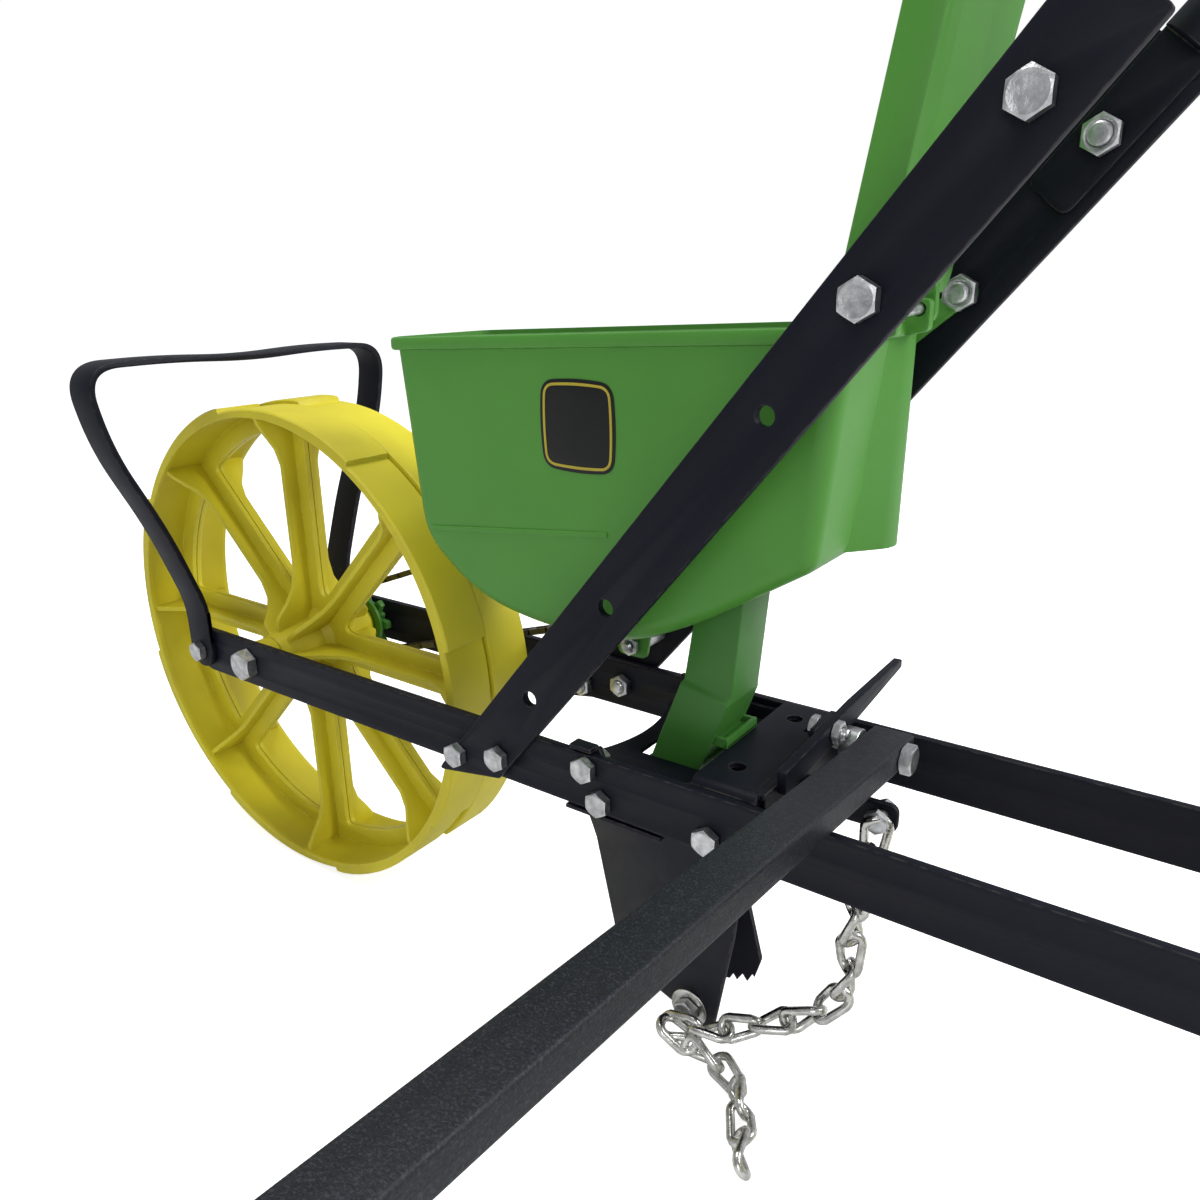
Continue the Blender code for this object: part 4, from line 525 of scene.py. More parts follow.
def newTree(name, inputs):
    tree = bpy.data.node_groups.new(name, "GeometryNodeTree")
    tree.interface.new_socket("Geometry", in_out="INPUT", socket_type="NodeSocketGeometry")
    for label, kind in inputs:
        tree.interface.new_socket(label, in_out="INPUT", socket_type="NodeSocket" + kind)
    tree.interface.new_socket("Geometry", in_out="OUTPUT", socket_type="NodeSocketGeometry")
    return tree, tree.nodes.new("NodeGroupInput").outputs, tree.nodes.new("NodeGroupOutput").inputs


def geoNode(tree, kind, links=(), **settings):
    node = addNode(tree, kind, **settings)
    for socket, source in dict(links).items():
        if isinstance(source, bpy.types.NodeSocket):
            tree.links.new(source, node.inputs[socket])
        else:
            node.inputs[socket].default_value = source
    return node


def closeTree(tree, given, outputs, parts):
    join = tree.nodes.new("GeometryNodeJoinGeometry")
    for part in parts:
        tree.links.new(part, join.inputs[0])
    real = geoNode(tree, "GeometryNodeRealizeInstances", {"Geometry": join.outputs[0]})
    painted = geoNode(tree, "GeometryNodeSetMaterial", {"Geometry": real.outputs[0], "Material": given["Finish"]})
    tree.links.new(painted.outputs[0], outputs[0])
    return tree


def boltTree():
    # A head, a shank and a nut at every point, aimed along the point's own direction.
    tree, given, outputs = newTree(
        "boltsAtPoints", [("Head", "Object"), ("Shank", "Object"), ("Nut", "Object"), ("Finish", "Material")]
    )
    aim = geoNode(tree, "GeometryNodeInputNamedAttribute", {"Name": "aim"}, data_type="FLOAT_VECTOR").outputs[0]
    reach = geoNode(tree, "GeometryNodeInputNamedAttribute", {"Name": "reach"}, data_type="FLOAT").outputs[0]
    nutAt = geoNode(tree, "GeometryNodeInputNamedAttribute", {"Name": "nutAt"}, data_type="FLOAT").outputs[0]
    turn = geoNode(tree, "FunctionNodeAlignRotationToVector", {"Vector": aim}, axis="Z").outputs[0]
    parts = []
    shapes = {
        key: geoNode(tree, "GeometryNodeObjectInfo", {"Object": given[key]}).outputs["Geometry"]
        for key in ("Head", "Shank", "Nut")
    }
    common = {"Points": given["Geometry"], "Rotation": turn}
    parts.append(geoNode(tree, "GeometryNodeInstanceOnPoints", {**common, "Instance": shapes["Head"]}).outputs[0])
    stretch = geoNode(tree, "ShaderNodeCombineXYZ", {"X": 1.0, "Y": 1.0, "Z": reach}).outputs[0]
    parts.append(geoNode(
        tree, "GeometryNodeInstanceOnPoints", {**common, "Instance": shapes["Shank"], "Scale": stretch}
    ).outputs[0])
    shift = geoNode(tree, "ShaderNodeVectorMath", {0: aim}, operation="SCALE")
    tree.links.new(nutAt, shift.inputs["Scale"])
    shifted = geoNode(tree, "GeometryNodeSetPosition", {"Geometry": given["Geometry"], "Offset": shift.outputs[0]})
    parts.append(geoNode(
        tree, "GeometryNodeInstanceOnPoints",
        {"Points": shifted.outputs[0], "Rotation": turn, "Instance": shapes["Nut"]},
    ).outputs[0])
    return closeTree(tree, given, outputs, parts)


def chainTree():
    # Links at even steps along a line, each turned on from the last.
    tree, given, outputs = newTree(
        "linksAlongLine", [("Link", "Object"), ("Links", "Int"), ("Turn Each", "Float"), ("Finish", "Material")]
    )
    curve = geoNode(tree, "GeometryNodeMeshToCurve", {"Mesh": given["Geometry"]}).outputs[0]
    even = geoNode(tree, "GeometryNodeResampleCurve", {"Curve": curve, "Count": given["Links"]}).outputs[0]
    tangent = geoNode(tree, "GeometryNodeInputTangent").outputs[0]
    aimed = geoNode(tree, "FunctionNodeAlignRotationToVector", {"Vector": tangent}, axis="X").outputs[0]
    index = geoNode(tree, "GeometryNodeInputIndex").outputs[0]
    angle = geoNode(tree, "ShaderNodeMath", {0: index, 1: given["Turn Each"]}, operation="MULTIPLY").outputs[0]
    spin = geoNode(tree, "FunctionNodeAxisAngleToRotation", {"Axis": (1.0, 0.0, 0.0), "Angle": angle}).outputs[0]
    turned = geoNode(
        tree, "FunctionNodeRotateRotation", {"Rotation": aimed, "Rotate By": spin}, rotation_space="LOCAL"
    ).outputs[0]
    link = geoNode(tree, "GeometryNodeObjectInfo", {"Object": given["Link"]}).outputs["Geometry"]
    parts = [geoNode(
        tree, "GeometryNodeInstanceOnPoints", {"Points": even, "Instance": link, "Rotation": turned}
    ).outputs[0]]
    return closeTree(tree, given, outputs, parts)


def ringTree():
    # A shape repeated round the Y axis.
    tree, given, outputs = newTree(
        "ringOfParts", [("Part", "Object"), ("Count", "Int"), ("First Turn", "Float"), ("Finish", "Material")]
    )
    points = geoNode(tree, "GeometryNodePoints", {"Count": given["Count"]}).outputs[0]
    index = geoNode(tree, "GeometryNodeInputIndex").outputs[0]
    step = geoNode(tree, "ShaderNodeMath", {0: 2 * math.pi, 1: given["Count"]}, operation="DIVIDE").outputs[0]
    angle = geoNode(tree, "ShaderNodeMath", {0: index, 1: step}, operation="MULTIPLY").outputs[0]
    total = geoNode(tree, "ShaderNodeMath", {0: angle, 1: given["First Turn"]}, operation="ADD").outputs[0]
    spin = geoNode(tree, "FunctionNodeAxisAngleToRotation", {"Axis": (0.0, 1.0, 0.0), "Angle": total}).outputs[0]
    part = geoNode(tree, "GeometryNodeObjectInfo", {"Object": given["Part"]}).outputs["Geometry"]
    parts = [geoNode(
        tree, "GeometryNodeInstanceOnPoints", {"Points": points, "Instance": part, "Rotation": spin}
    ).outputs[0]]
    return closeTree(tree, given, outputs, parts)


trees = {"bolts": boltTree(), "chain": chainTree(), "ring": ringTree()}


def grown(base, tree, values):
    # Runs a node tree on a mesh and returns the plain result; meshes among the values are lent as objects.
    holder = workObject(base)
    modifier = holder.modifiers.new("tree", "NODES")
    modifier.node_group = tree
    lent = []
    for item in tree.interface.items_tree:
        if item.in_out != "INPUT" or item.name not in values:
            continue
        value = values[item.name]
        if isinstance(value, bpy.types.Mesh):
            value = workObject(value)
            lent.append(value)
        modifier[item.identifier] = value
    mesh = evaluated(holder)
    holder.modifiers.remove(modifier)
    for used in (holder, *lent):
        bpy.data.objects.remove(used, do_unlink=True)
    return outwards(mesh, 1e-5)


def ringOf(mesh, count, firstTurn, finish):
    seedPoint = bpy.data.meshes.new("seedPoint")
    values = {"Part": mesh, "Count": count, "First Turn": firstTurn, "Finish": finishes[finish]}
    return grown(seedPoint, trees["ring"], values)


# Flat bars.

sideBar = {
    "width": 31.75, "thick": 4.76, "outerY": 60.24, "frontX": 62.0, "rearX": -735.0, "edge": 0.7,
}
# Radii of the holes by the bolt that goes through them.
boltHoles = {"small": 3.77, "bar": 4.57, "handle": 5.36, "axle": 6.95}
gap = 0.3
barInnerY = sideBar["outerY"] - sideBar["thick"]
archX = 50.5
handleBolts = ((-204.4, -7.0), (-235.8, 0.0))
bracketBolts = ((-292.3, 8.3), (-301.6, -8.6), (-365.5, -7.7))
hangerBolts = ((-690.0, 8.0), (-690.0, -8.0))


def makeSideBars():
    half = sideBar["width"] / 2
    nose = (onCircle(math.radians(90 - 7.5 * k), half) for k in range(25))
    outline = [(sideBar["rearX"], -half), (sideBar["rearX"], half)]
    outline += [(sideBar["frontX"] - half + x, z) for x, z in nose]
    holes = [circle((0, 0), boltHoles["axle"])]
    holes += [circle(p, boltHoles["bar"], 24) for p in ((archX, 0), *handleBolts, *bracketBolts, *hangerBolts)]
    middle = sideBar["outerY"] - sideBar["thick"] / 2
    near = plate(outline, sideBar["thick"], "xz", middle, holes, sideBar["edge"])
    pieceAndMirror("side_bar", [near], "blackCoat")


arch = {"width": 25.0, "thick": 4.0, "topZ": 203.0, "bend": 24.0}


def makeArch():
    foot = sideBar["outerY"] + gap + arch["thick"] / 2
    half = [
        (foot, 6.0), (foot, 34.0), (82.0, 92.0), (110.0, 152.0), (119.0, arch["topZ"]),
        (60.0, arch["topZ"] + 1.0), (0.0, arch["topZ"] - 2.0),
    ]
    whole = [*half, *((-y, z) for y, z in half[-2::-1])]
    strap = strapOutline(filletPath(whole, arch["bend"], 14), arch["thick"])
    meshes = [plate(strap, arch["width"], "yz", archX, edge=0.9)]
    padR = arch["width"] / 2
    lower = [(archX + x, z) for x, z in (onCircle(math.radians(180 + 9 * k), padR) for k in range(21))]
    pad = [(archX - padR, 30.0), *lower, (archX + padR, 30.0)]
    hole = circle((archX, 0), boltHoles["bar"], 24)
    for side in (1, -1):
        meshes.append(plate(pad, arch["thick"] - 0.02, "xz", side * foot, [hole], 0.9))
    piece("wheel_arch_piece", meshes, "blackCoat", "frame", "wheel_arch")


handleBar = {
    "foot": (-225.7, 0.0), "rise": math.radians(50.4), "length": 430.0, "cut": 28.0,
    "holes": (53.0, 131.2, 255.7), "holeR": 4.25, "earBolt": 313.5, "lapBolt": 392.6,
}
handleInY = sideBar["outerY"] + gap
handleDir = Vector((-math.cos(handleBar["rise"]), 0, math.sin(handleBar["rise"])))
handleSide = Vector((math.sin(handleBar["rise"]), 0, math.cos(handleBar["rise"])))
handleFoot = Vector((handleBar["foot"][0], 0, handleBar["foot"][1]))


def onHandle(s, across=0.0):
    spot = handleFoot + handleDir * s + handleSide * across
    return spot.x, spot.z


def makeHandles():
    half = sideBar["width"] / 2
    top = handleBar["length"]
    corners = ((-42.0, half), (-5.0, -half), (top, -half), (top, half))
    outline = rounded([onHandle(*corner) for corner in corners], 2.0, 3)
    holes = [circle(onHandle(s), handleBar["holeR"], 28) for s in handleBar["holes"]]
    holes += [circle(onHandle(s), boltHoles["handle"], 28) for s in (handleBar["earBolt"], handleBar["lapBolt"])]
    holes += [circle(p, boltHoles["bar"], 24) for p in handleBolts]
    near = plate(outline, sideBar["thick"], "xz", handleInY + sideBar["thick"] / 2, holes, 0.7)
    bm = bmesh.new()
    bm.from_mesh(near)
    bmesh.ops.bisect_plane(
        bm, geom=bm.verts[:] + bm.edges[:] + bm.faces[:], plane_co=handleFoot + handleDir * handleBar["cut"],
        plane_no=handleDir,
    )
    pieceAndMirror("handle", [meshFrom(bm)], "blackCoat")


upperHandle = {"tubeR": 11.1, "topZ": 640.0, "gripR": 17.0, "gripLength": 125.0, "tabThick": 4.0}


def upperPath():
    s1 = handleBar["length"] + 12.0
    topS = upperHandle["topZ"] / handleDir.z
    tubeY, topY = handleInY - 4.0, handleInY + 42.0
    x1, z1 = onHandle(s1 - 10)
    x2, z2 = onHandle((s1 + topS) / 2)
    x3, z3 = onHandle(topS)
    end = Vector((x3 - 195.0, topY + 16.0, z3 + 66.0))
    along = Vector((-0.92, 0.08, 0.38)).normalized()
    knots = [(x1, tubeY, z1), (x2, (tubeY + topY) / 2 - 6, z2), (x3 + 10, topY - 3, z3 - 14)]
    knots += [tuple(end - along * (upperHandle["gripLength"] + more)) for more in (45, 10)]
    return knots, end, along


def makeUpperHandles():
    knots, end, along = upperPath()
    path = smoothPath(knots, 14) + [end]
    tube = sweep(path, circle((0, 0), upperHandle["tubeR"], 28))
    s0, s1 = handleBar["length"] - 68.0, handleBar["length"] + 12.0
    tabOutline = rounded([onHandle(s0, 11), onHandle(s0, -11), onHandle(s1, -11), onHandle(s1, 11)], 5, 5)
    tabHole = circle(onHandle(handleBar["lapBolt"]), boltHoles["handle"], 28)
    tab = plate(tabOutline, upperHandle["tabThick"], "xz", handleInY - gap - 2.1, [tabHole], 0.8)
    pieceAndMirror("upper_handle", [tube, tab], "blackCoat")

    length = upperHandle["gripLength"]
    gripR = upperHandle["gripR"]
    bore = upperHandle["tubeR"] + 0.3
    outer = [(0.0, length), (gripR - 4, length), (gripR - 1.2, length - 1.2), (gripR, length - 4)]
    for k in range(3):
        at = length - 14 - k * 34.0
        outer += [(gripR, at), (gripR - 1.1, at - 3), (gripR - 1.6, at - 6), (gripR - 1.6, at - 12),
                  (gripR - 1.1, at - 15), (gripR, at - 18)]
    outer += [(gripR + 2.5, 7.5), (gripR + 2.9, 4.0), (gripR + 2.5, 0.8), (gripR, 0.0), (bore, 0.0)]
    profile = [(bore, length - 6.5), (0.0, length - 6.5), *outer]
    start = end - along * (length - 7)
    grip = lathe(profile, steps=48)
    grip.transform(Matrix.Translation(start) @ along.to_track_quat("Y", "Z").to_matrix().to_4x4())
    pieceAndMirror("grip", [grip], "gripRubber")

    coarse = smoothPath(knots, 4) + [end]
    spot = coarse[len(coarse) // 2 - 1]
    reach = spot.y + 14.0
    front = Vector((spot.x, 0, spot.z)) + handleSide * (upperHandle["tubeR"] + 2.9)
    brace = plate(rounded(rectangle(-reach, -12.7, reach, 12.7), 8, 6), 4.0, "xy", 0.0)
    brace.transform(Matrix((
        (0, handleDir.x, handleSide.x, front.x), (1, 0, 0, 0), (0, handleDir.z, handleSide.z, front.z), (0, 0, 0, 1)
    )))
    piece("handle_brace_piece", outwards(brace), "blackCoat", "frame", "handle_brace")


makeSideBars()
makeArch()
makeHandles()
makeUpperHandles()
print("bars, arch and handles made")

# Front wheel.

frontWheel = {
    "radius": 174.0, "halfWidth": 35.0, "rimThick": 4.0, "lipRise": 3.5, "spokes": 8, "spokeWidth": 23.0,
    "webThick": 3.5, "hubR": 21.0, "hubTipR": 13.5, "hubHalf": 41.0, "ribThick": 3.6, "ribLow": 15.0,
    "nearLips": math.radians(78), "farLips": math.radians(47.25), "columns": 24,
}
wheelBore = frontWheel["radius"] - frontWheel["lipRise"] - frontWheel["rimThick"]


def treadColumns(firstLip):
    # (angle, tread radius) round the wheel, with two columns at each lip's face.
    made = []
    pitch = 2 * math.pi / frontWheel["spokes"]
    for lip in range(frontWheel["spokes"]):
        start = firstLip + lip * pitch
        for k in range(frontWheel["columns"]):
            share = k / frontWheel["columns"]
            climb = min(1.0, share / 0.86)
            made.append((start + share * pitch, frontWheel["radius"] - frontWheel["lipRise"] * (1 - climb)))
        made.append((start + pitch * 0.992, frontWheel["radius"] - 0.4))
        made.append((start + pitch * 0.9985, frontWheel["radius"] - frontWheel["lipRise"] + 0.3))
    return made


def rimMesh(firstLip):
    columns = treadColumns(firstLip)
    bm = bmesh.new()
    inner, outer = 0.45, frontWheel["halfWidth"]
    rings = []
    for angle, r in columns:
        cut = [
            (wheelBore, inner), (wheelBore + 0.4, outer - 6), (wheelBore - 0.9, outer - 4.2),
            (wheelBore - 0.9, outer - 0.6), (wheelBore - 0.3, outer), (r - 1.0, outer), (r, outer - 1.1),
            (r, inner + 0.9), (r - 0.8, inner),
        ]
        rings.append([bm.verts.new((q * math.cos(angle), y, q * math.sin(angle))) for q, y in cut])
    for ring, after in zip(rings, [*rings[1:], rings[0]]):
        for k in range(len(ring)):
            n = (k + 1) % len(ring)
            bm.faces.new((ring[k], ring[n], after[n], after[k]))
    return outwards(meshFrom(bm))


def windowOutline(k):
    turn = (k + 0.5) * 2 * math.pi / frontWheel["spokes"]
    halfGap = math.pi / frontWheel["spokes"]
    outer, nearHub = wheelBore - 13.0, frontWheel["hubR"] + 7.0
    reach = frontWheel["spokeWidth"] / 2 + 1.0
    corners = []
    for sign in (-1, 1):
        edge = turn + sign * halfGap
        along = Vector((math.cos(edge), math.sin(edge)))
        inward = Vector((math.sin(edge), -math.cos(edge))) * sign
        corners.append((along * outer + inward * reach, along * nearHub + inward * reach))
    tip = (corners[0][1] + corners[1][1]) / 2
    arc = [onCircle(turn + f * halfGap, outer) for f in (-0.62, -0.45, -0.3, -0.15, 0, 0.15, 0.3, 0.45, 0.62)]
    return rounded([tuple(corners[0][0]), *arc, tuple(corners[1][0]), tuple(tip)], 7.0, 6)


def ribMesh():
    # One spoke's rib: deep at the hub, shallow along the spoke, fanning out to the rim's edge.
    top, low, hub = frontWheel["halfWidth"] - 3.0, frontWheel["ribLow"], 8.0
    side = [
        (hub, 0.9), (wheelBore + 1.0, 0.9), (wheelBore + 1.0, top), (wheelBore - 4, top - 0.5),
        (wheelBore - 13, top - 6), (wheelBore - 24, low + 3.5), (wheelBore - 36, low), (58, low), (44, low + 3.0),
        (33, top - 7), (24, top + 2), (hub, top + 4),
    ]
    return plate(rounded(side, 9.0, 3), frontWheel["ribThick"], "xy", 0.0, edge=0.8)


def wheelHalf(firstLip):
    web = plate(
        circle((0, 0), wheelBore + 1.2, 120), frontWheel["webThick"], "xz", 0.35 + frontWheel["webThick"] / 2,
        [windowOutline(k) for k in range(frontWheel["spokes"])], 0.35,
    )
    hubR, tip, half = frontWheel["hubR"], frontWheel["hubTipR"], frontWheel["hubHalf"]
    boss = lathe(rounded([
        (tip, half), (tip + 1.0, half - 5), (hubR - 2.0, 9.0), (hubR + 3.5, 4.4), (hubR + 3.5, 0.6), (6.8, 0.6),
        (6.8, half),
    ], 1.2, 3), steps=72)
    ribs = ringOf(ribMesh(), frontWheel["spokes"], 0.0, "yellowEnamel")
    return [rimMesh(firstLip), web, boss, ribs]


def makeFrontWheel():
    near = wheelHalf(frontWheel["nearLips"])
    far = [moved(m, mirrorY) for m in wheelHalf(frontWheel["farLips"])]
    piece("near_wheel_half_piece", near, "yellowEnamel", "front_wheel", "near_wheel_half", sharp=38)
    piece("far_wheel_half_piece", far, "yellowEnamel", "front_wheel", "far_wheel_half", sharp=38)


driveChain = {"pitch": 15.875, "driveTeeth": 8, "plateTeeth": 12, "y": -47.5, "shaft": (-300.0, 103.46)}
tooth = {"tip": 3.0, "root": 4.2, "thick": 4.4}
driveR = driveChain["pitch"] / 2 / math.sin(math.pi / driveChain["driveTeeth"])
drivenR = driveChain["pitch"] / 2 / math.sin(math.pi / driveChain["plateTeeth"])


def toothedOutline(pitchR, teeth):
    step = 2 * math.pi / teeth
    root, tip = pitchR - tooth["root"], pitchR + tooth["tip"]
    flank = ((-0.5, root - 0.5), (-0.30, root), (-0.15, tip), (0.15, tip), (0.30, root))
    return rounded([onCircle((k + share) * step, r) for k in range(teeth) for share, r in flank], 1.3, 2)


def makeSprockets():
    y = driveChain["y"]
    teeth = plate(
        toothedOutline(driveR, driveChain["driveTeeth"]), tooth["thick"], "xz", y, [circle((0, 0), 8.0)], 0.7
    )
    hub = lathe(rounded([
        (18.5, y + 2.4), (20.0, y + 3.4), (20.5, -41.3), (6.7, -41.3), (6.7, y - 3.6), (12.5, y - 3.6),
        (12.5, y + 1.0),
    ], 0.6, 2))
    bosses = ringOf(roundBar((15.5, y + 1.0, 0), (15.5, y - 3.4, 0), 2.4, 16), 4, 0.4, "greenPlastic")
    piece("hub_sprocket_piece", [teeth, hub, bosses], "greenPlastic", "front_wheel", "hub_sprocket")

    x, z = driveChain["shaft"]
    place = Matrix.Translation((x, 0, z))
    bore = 5.3
    holes = [circle((0, 0), bore), *(circle(onCircle(k * math.pi / 3, 17.5), 4.0, 20) for k in range(6))]
    teeth = plate(toothedOutline(drivenR, driveChain["plateTeeth"]), tooth["thick"], "xz", y, holes, 0.6)
    hub = lathe(collar(11.0, bore, y - 3.6, y + 4.5, 0.6, 2), steps=40)
    parts = [moved(m, place) for m in (teeth, hub)]
    piece("plate_sprocket_piece", parts, "darkSteel", "seed_drive", "plate_sprocket")

    plateIn = (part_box("seed_plate")[0].y - axle.y) * 1000
    shaft = roundBar((x, y - 6.4, z), (x, plateIn + 11.0, z), 4.95, 32)
    groove = lathe(collar(5.6, 4.4, y - 5.6, y - 4.6, 0.15, 2), (x, 0, z), 32)
    piece("seed_shaft_piece", [shaft, groove], "zincPlate", "seed_drive", "seed_shaft")
    cells = 12
    cell = ((-0.30, 27.0), (-0.2, 23.5), (-0.1, 22.0), (0.1, 22.0), (0.2, 23.5), (0.30, 27.0), (0.5, 27.0))
    outline = [onCircle((k + share) * 2 * math.pi / cells, r) for k in range(cells) for share, r in cell]
    disc = plate(outline, 8.0, "xz", plateIn + 4.0, [circle((0, 0), bore)], 0.6)
    ring = lathe(collar(9.5, bore, plateIn + 7.6, plateIn + 8.0, 0.1, 2), steps=40)
    piece("seed_plate_piece", [moved(m, place) for m in (disc, ring)], "seedPlastic", "seed_drive", "seed_plate")


def linkMesh():
    # One link of the drive chain: two side straps with a barrel at one end and a hook at the other.
    half = driveChain["pitch"] / 2
    straps = [block((-half - 1.6, y - 0.75, -2.1), (half + 1.2, y + 0.75, 2.1), 0.5) for y in (-3.2, 3.2)]
    barrel = roundBar((-half, -3.9, 0), (-half, 3.9, 0), 2.2, 12, 0.3)
    hook = roundBar((half - 1.4, -3.9, 0.9), (half - 1.4, 3.9, 0.9), 1.2, 10, 0.2)
    return joined([*straps, barrel, hook])


def makeDriveChain():
    x1, z1 = driveChain["shaft"]
    span = Vector((x1, z1))
    lean = math.atan2(span.y, span.x)
    openAngle = math.acos((driveR - drivenR) / span.length)
    extra = 5.0
    points = []
    for centre, r, first, total in (
        ((0, 0), driveR + extra, lean + openAngle, 2 * math.pi - 2 * openAngle),
        ((x1, z1), drivenR + extra, lean - openAngle, 2 * openAngle),
    ):
        for k in range(25):
            a = first + total * k / 24
            points.append((centre[0] + r * math.cos(a), driveChain["y"], centre[1] + r * math.sin(a)))
    line = bpy.data.meshes.new("chainLine")
    line.from_pydata(points, [(i, (i + 1) % len(points)) for i in range(len(points))], [])
    total = sum((Vector(a) - Vector(b)).length for a, b in zip(points, points[1:] + points[:1]))
    count = round(total / driveChain["pitch"])
    values = {"Link": linkMesh(), "Links": count, "Turn Each": 0.0, "Finish": finishes["darkSteel"]}
    piece("drive_chain_piece", grown(line, trees["chain"], values), "darkSteel", "frame", "drive_chain")


makeFrontWheel()
makeSprockets()
makeDriveChain()
print("front wheel and seed drive made")

# Opener bracket, shoe and chute.

bracket = {
    "sheet": 3.0, "outerY": barInnerY - 0.4, "frontX": -281.0, "rearX": -387.0, "lowZ": -17.0, "deckZ": 19.6,
    "deckFrontX": -352.0, "flangeTop": 31.0, "flangeLow": -13.0, "holeX": -366.0, "holeY": 33.0, "holeR": 4.5,
}
markerArm = {
    "x": (-427.0, -405.0), "deep": 15.0, "wall": 1.6, "pivotY": -31.0, "tilt": math.radians(6.0), "root": 17.0,
    "length": 740.0, "rodR": 5.0, "rodBack": 18.0,
}
armPivotZ = (
    sideBar["width"] / 2 + 0.3 + markerArm["deep"] / 2 / math.cos(markerArm["tilt"])
    - (sideBar["outerY"] - markerArm["pivotY"]) * math.tan(markerArm["tilt"]) + 0.5
)
stopBolt = (-17.0, 26.5)


def makeBracket():
    sheet, outerY, rear, deckZ = bracket["sheet"], bracket["outerY"], bracket["rearX"], bracket["deckZ"]
    front, deckFront, low = bracket["frontX"], bracket["deckFrontX"], bracket["lowZ"]
    side = rounded([
        (front, low), (front, 19.5), (front - 16, 18.5), (front - 19, 12.0), (deckFront + 8, 12.0),
        (deckFront, deckZ - 3.5), (rear, deckZ - 3.5), (rear, low),
    ], 1.6, 3)
    holes = [circle(p, boltHoles["bar"], 24) for p in bracketBolts]
    wide = outerY - sheet / 2
    meshes = [plate(side, sheet, "xz", sign * wide, holes, 0.5) for sign in (1, -1)]
    fold = filletPath([(-wide, 4.0), (-wide, deckZ - sheet / 2), (wide, deckZ - sheet / 2), (wide, 4.0)], 4.5, 8)
    deck = plate(strapOutline(fold, sheet), deckFront - rear, "yz", (deckFront + rear) / 2, edge=0.6)
    cuts = [
        cutterAt((bracket["holeX"], y, deckZ - 1.5), bracket["holeR"], 12)
        for y in (-bracket["holeY"], bracket["holeY"])
    ]
    boltLeft, boltRight = markerArm["pivotY"] - 10, markerArm["pivotY"] + 10
    cuts.append(block((rear - 1, boltLeft, deckZ - 5), (rear + 11, boltRight, deckZ + 2), 0.1))
    meshes.append(pierced(deck, cuts))
    flangeY = outerY - sheet - 2
    top, bottom = bracket["flangeTop"], bracket["flangeLow"]
    flange = rounded(
        [(-flangeY, bottom), (flangeY, bottom), (flangeY, deckZ - 0.4), (-4, deckZ - 0.4), (-4, top), (-32, top),
         (-32, deckZ - 0.4), (-flangeY, deckZ - 0.4)], 1.6, 4,
    )
    flangeMesh = plate(flange, sheet, "yz", rear - sheet / 2, edge=0.5)
    meshes.append(pierced(flangeMesh, [
        cutterAt((rear - 1.5, markerArm["pivotY"], armPivotZ), boltHoles["handle"], 30, "x"),
        cutterAt((rear - 1.5, *stopBolt), boltHoles["small"], 30, "x"),
    ]))
    strip = rounded(rectangle(rear - 2.4, 4 - outerY, rear + 3, outerY - 4), 1, 2)
    strip = plate(strip, sheet - 0.04, "xy", deckZ - sheet / 2, edge=0.4)
    meshes.append(pierced(strip, [block((rear - 4, boltLeft, deckZ - 8), (rear + 11, boltRight, deckZ + 2), 0.1)]))
    outerFace = sideBar["outerY"]
    meshes.append(block((-338.0, outerY - 2.0, low - 2.6), (front + 3.0, outerFace, low - 0.4), 0.5))
    meshes.append(block((front - 14.0, outerY - 2.6, 17.0), (front - 0.5, outerFace, 19.4), 0.5))
    piece("opener_bracket_piece", meshes, "blackCoat", "frame", "opener_bracket")


shoe = {
    "rings": (
        (-17.5, -286.0, 50.0, -382.0, 51.5), (-76.0, -258.0, 2.6, -372.0, 42.0), (-158.0, -276.0, 2.6, -352.0, 24.5),
    ),
    "sheet": 3.0, "chainBolt": (-338.0, -146.0),
}


def shoeWallY(x, z):
    (z0, f0, a0, r0, b0), (z1, f1, a1, r1, b1) = shoe["rings"][1], shoe["rings"][2]
    t = (z0 - z) / (z0 - z1)
    front, rear = f0 + (f1 - f0) * t, r0 + (r1 - r0) * t
    low, high = a0 + (a1 - a0) * t, b0 + (b1 - b0) * t
    return low + (high - low) * (front - x) / (front - rear)


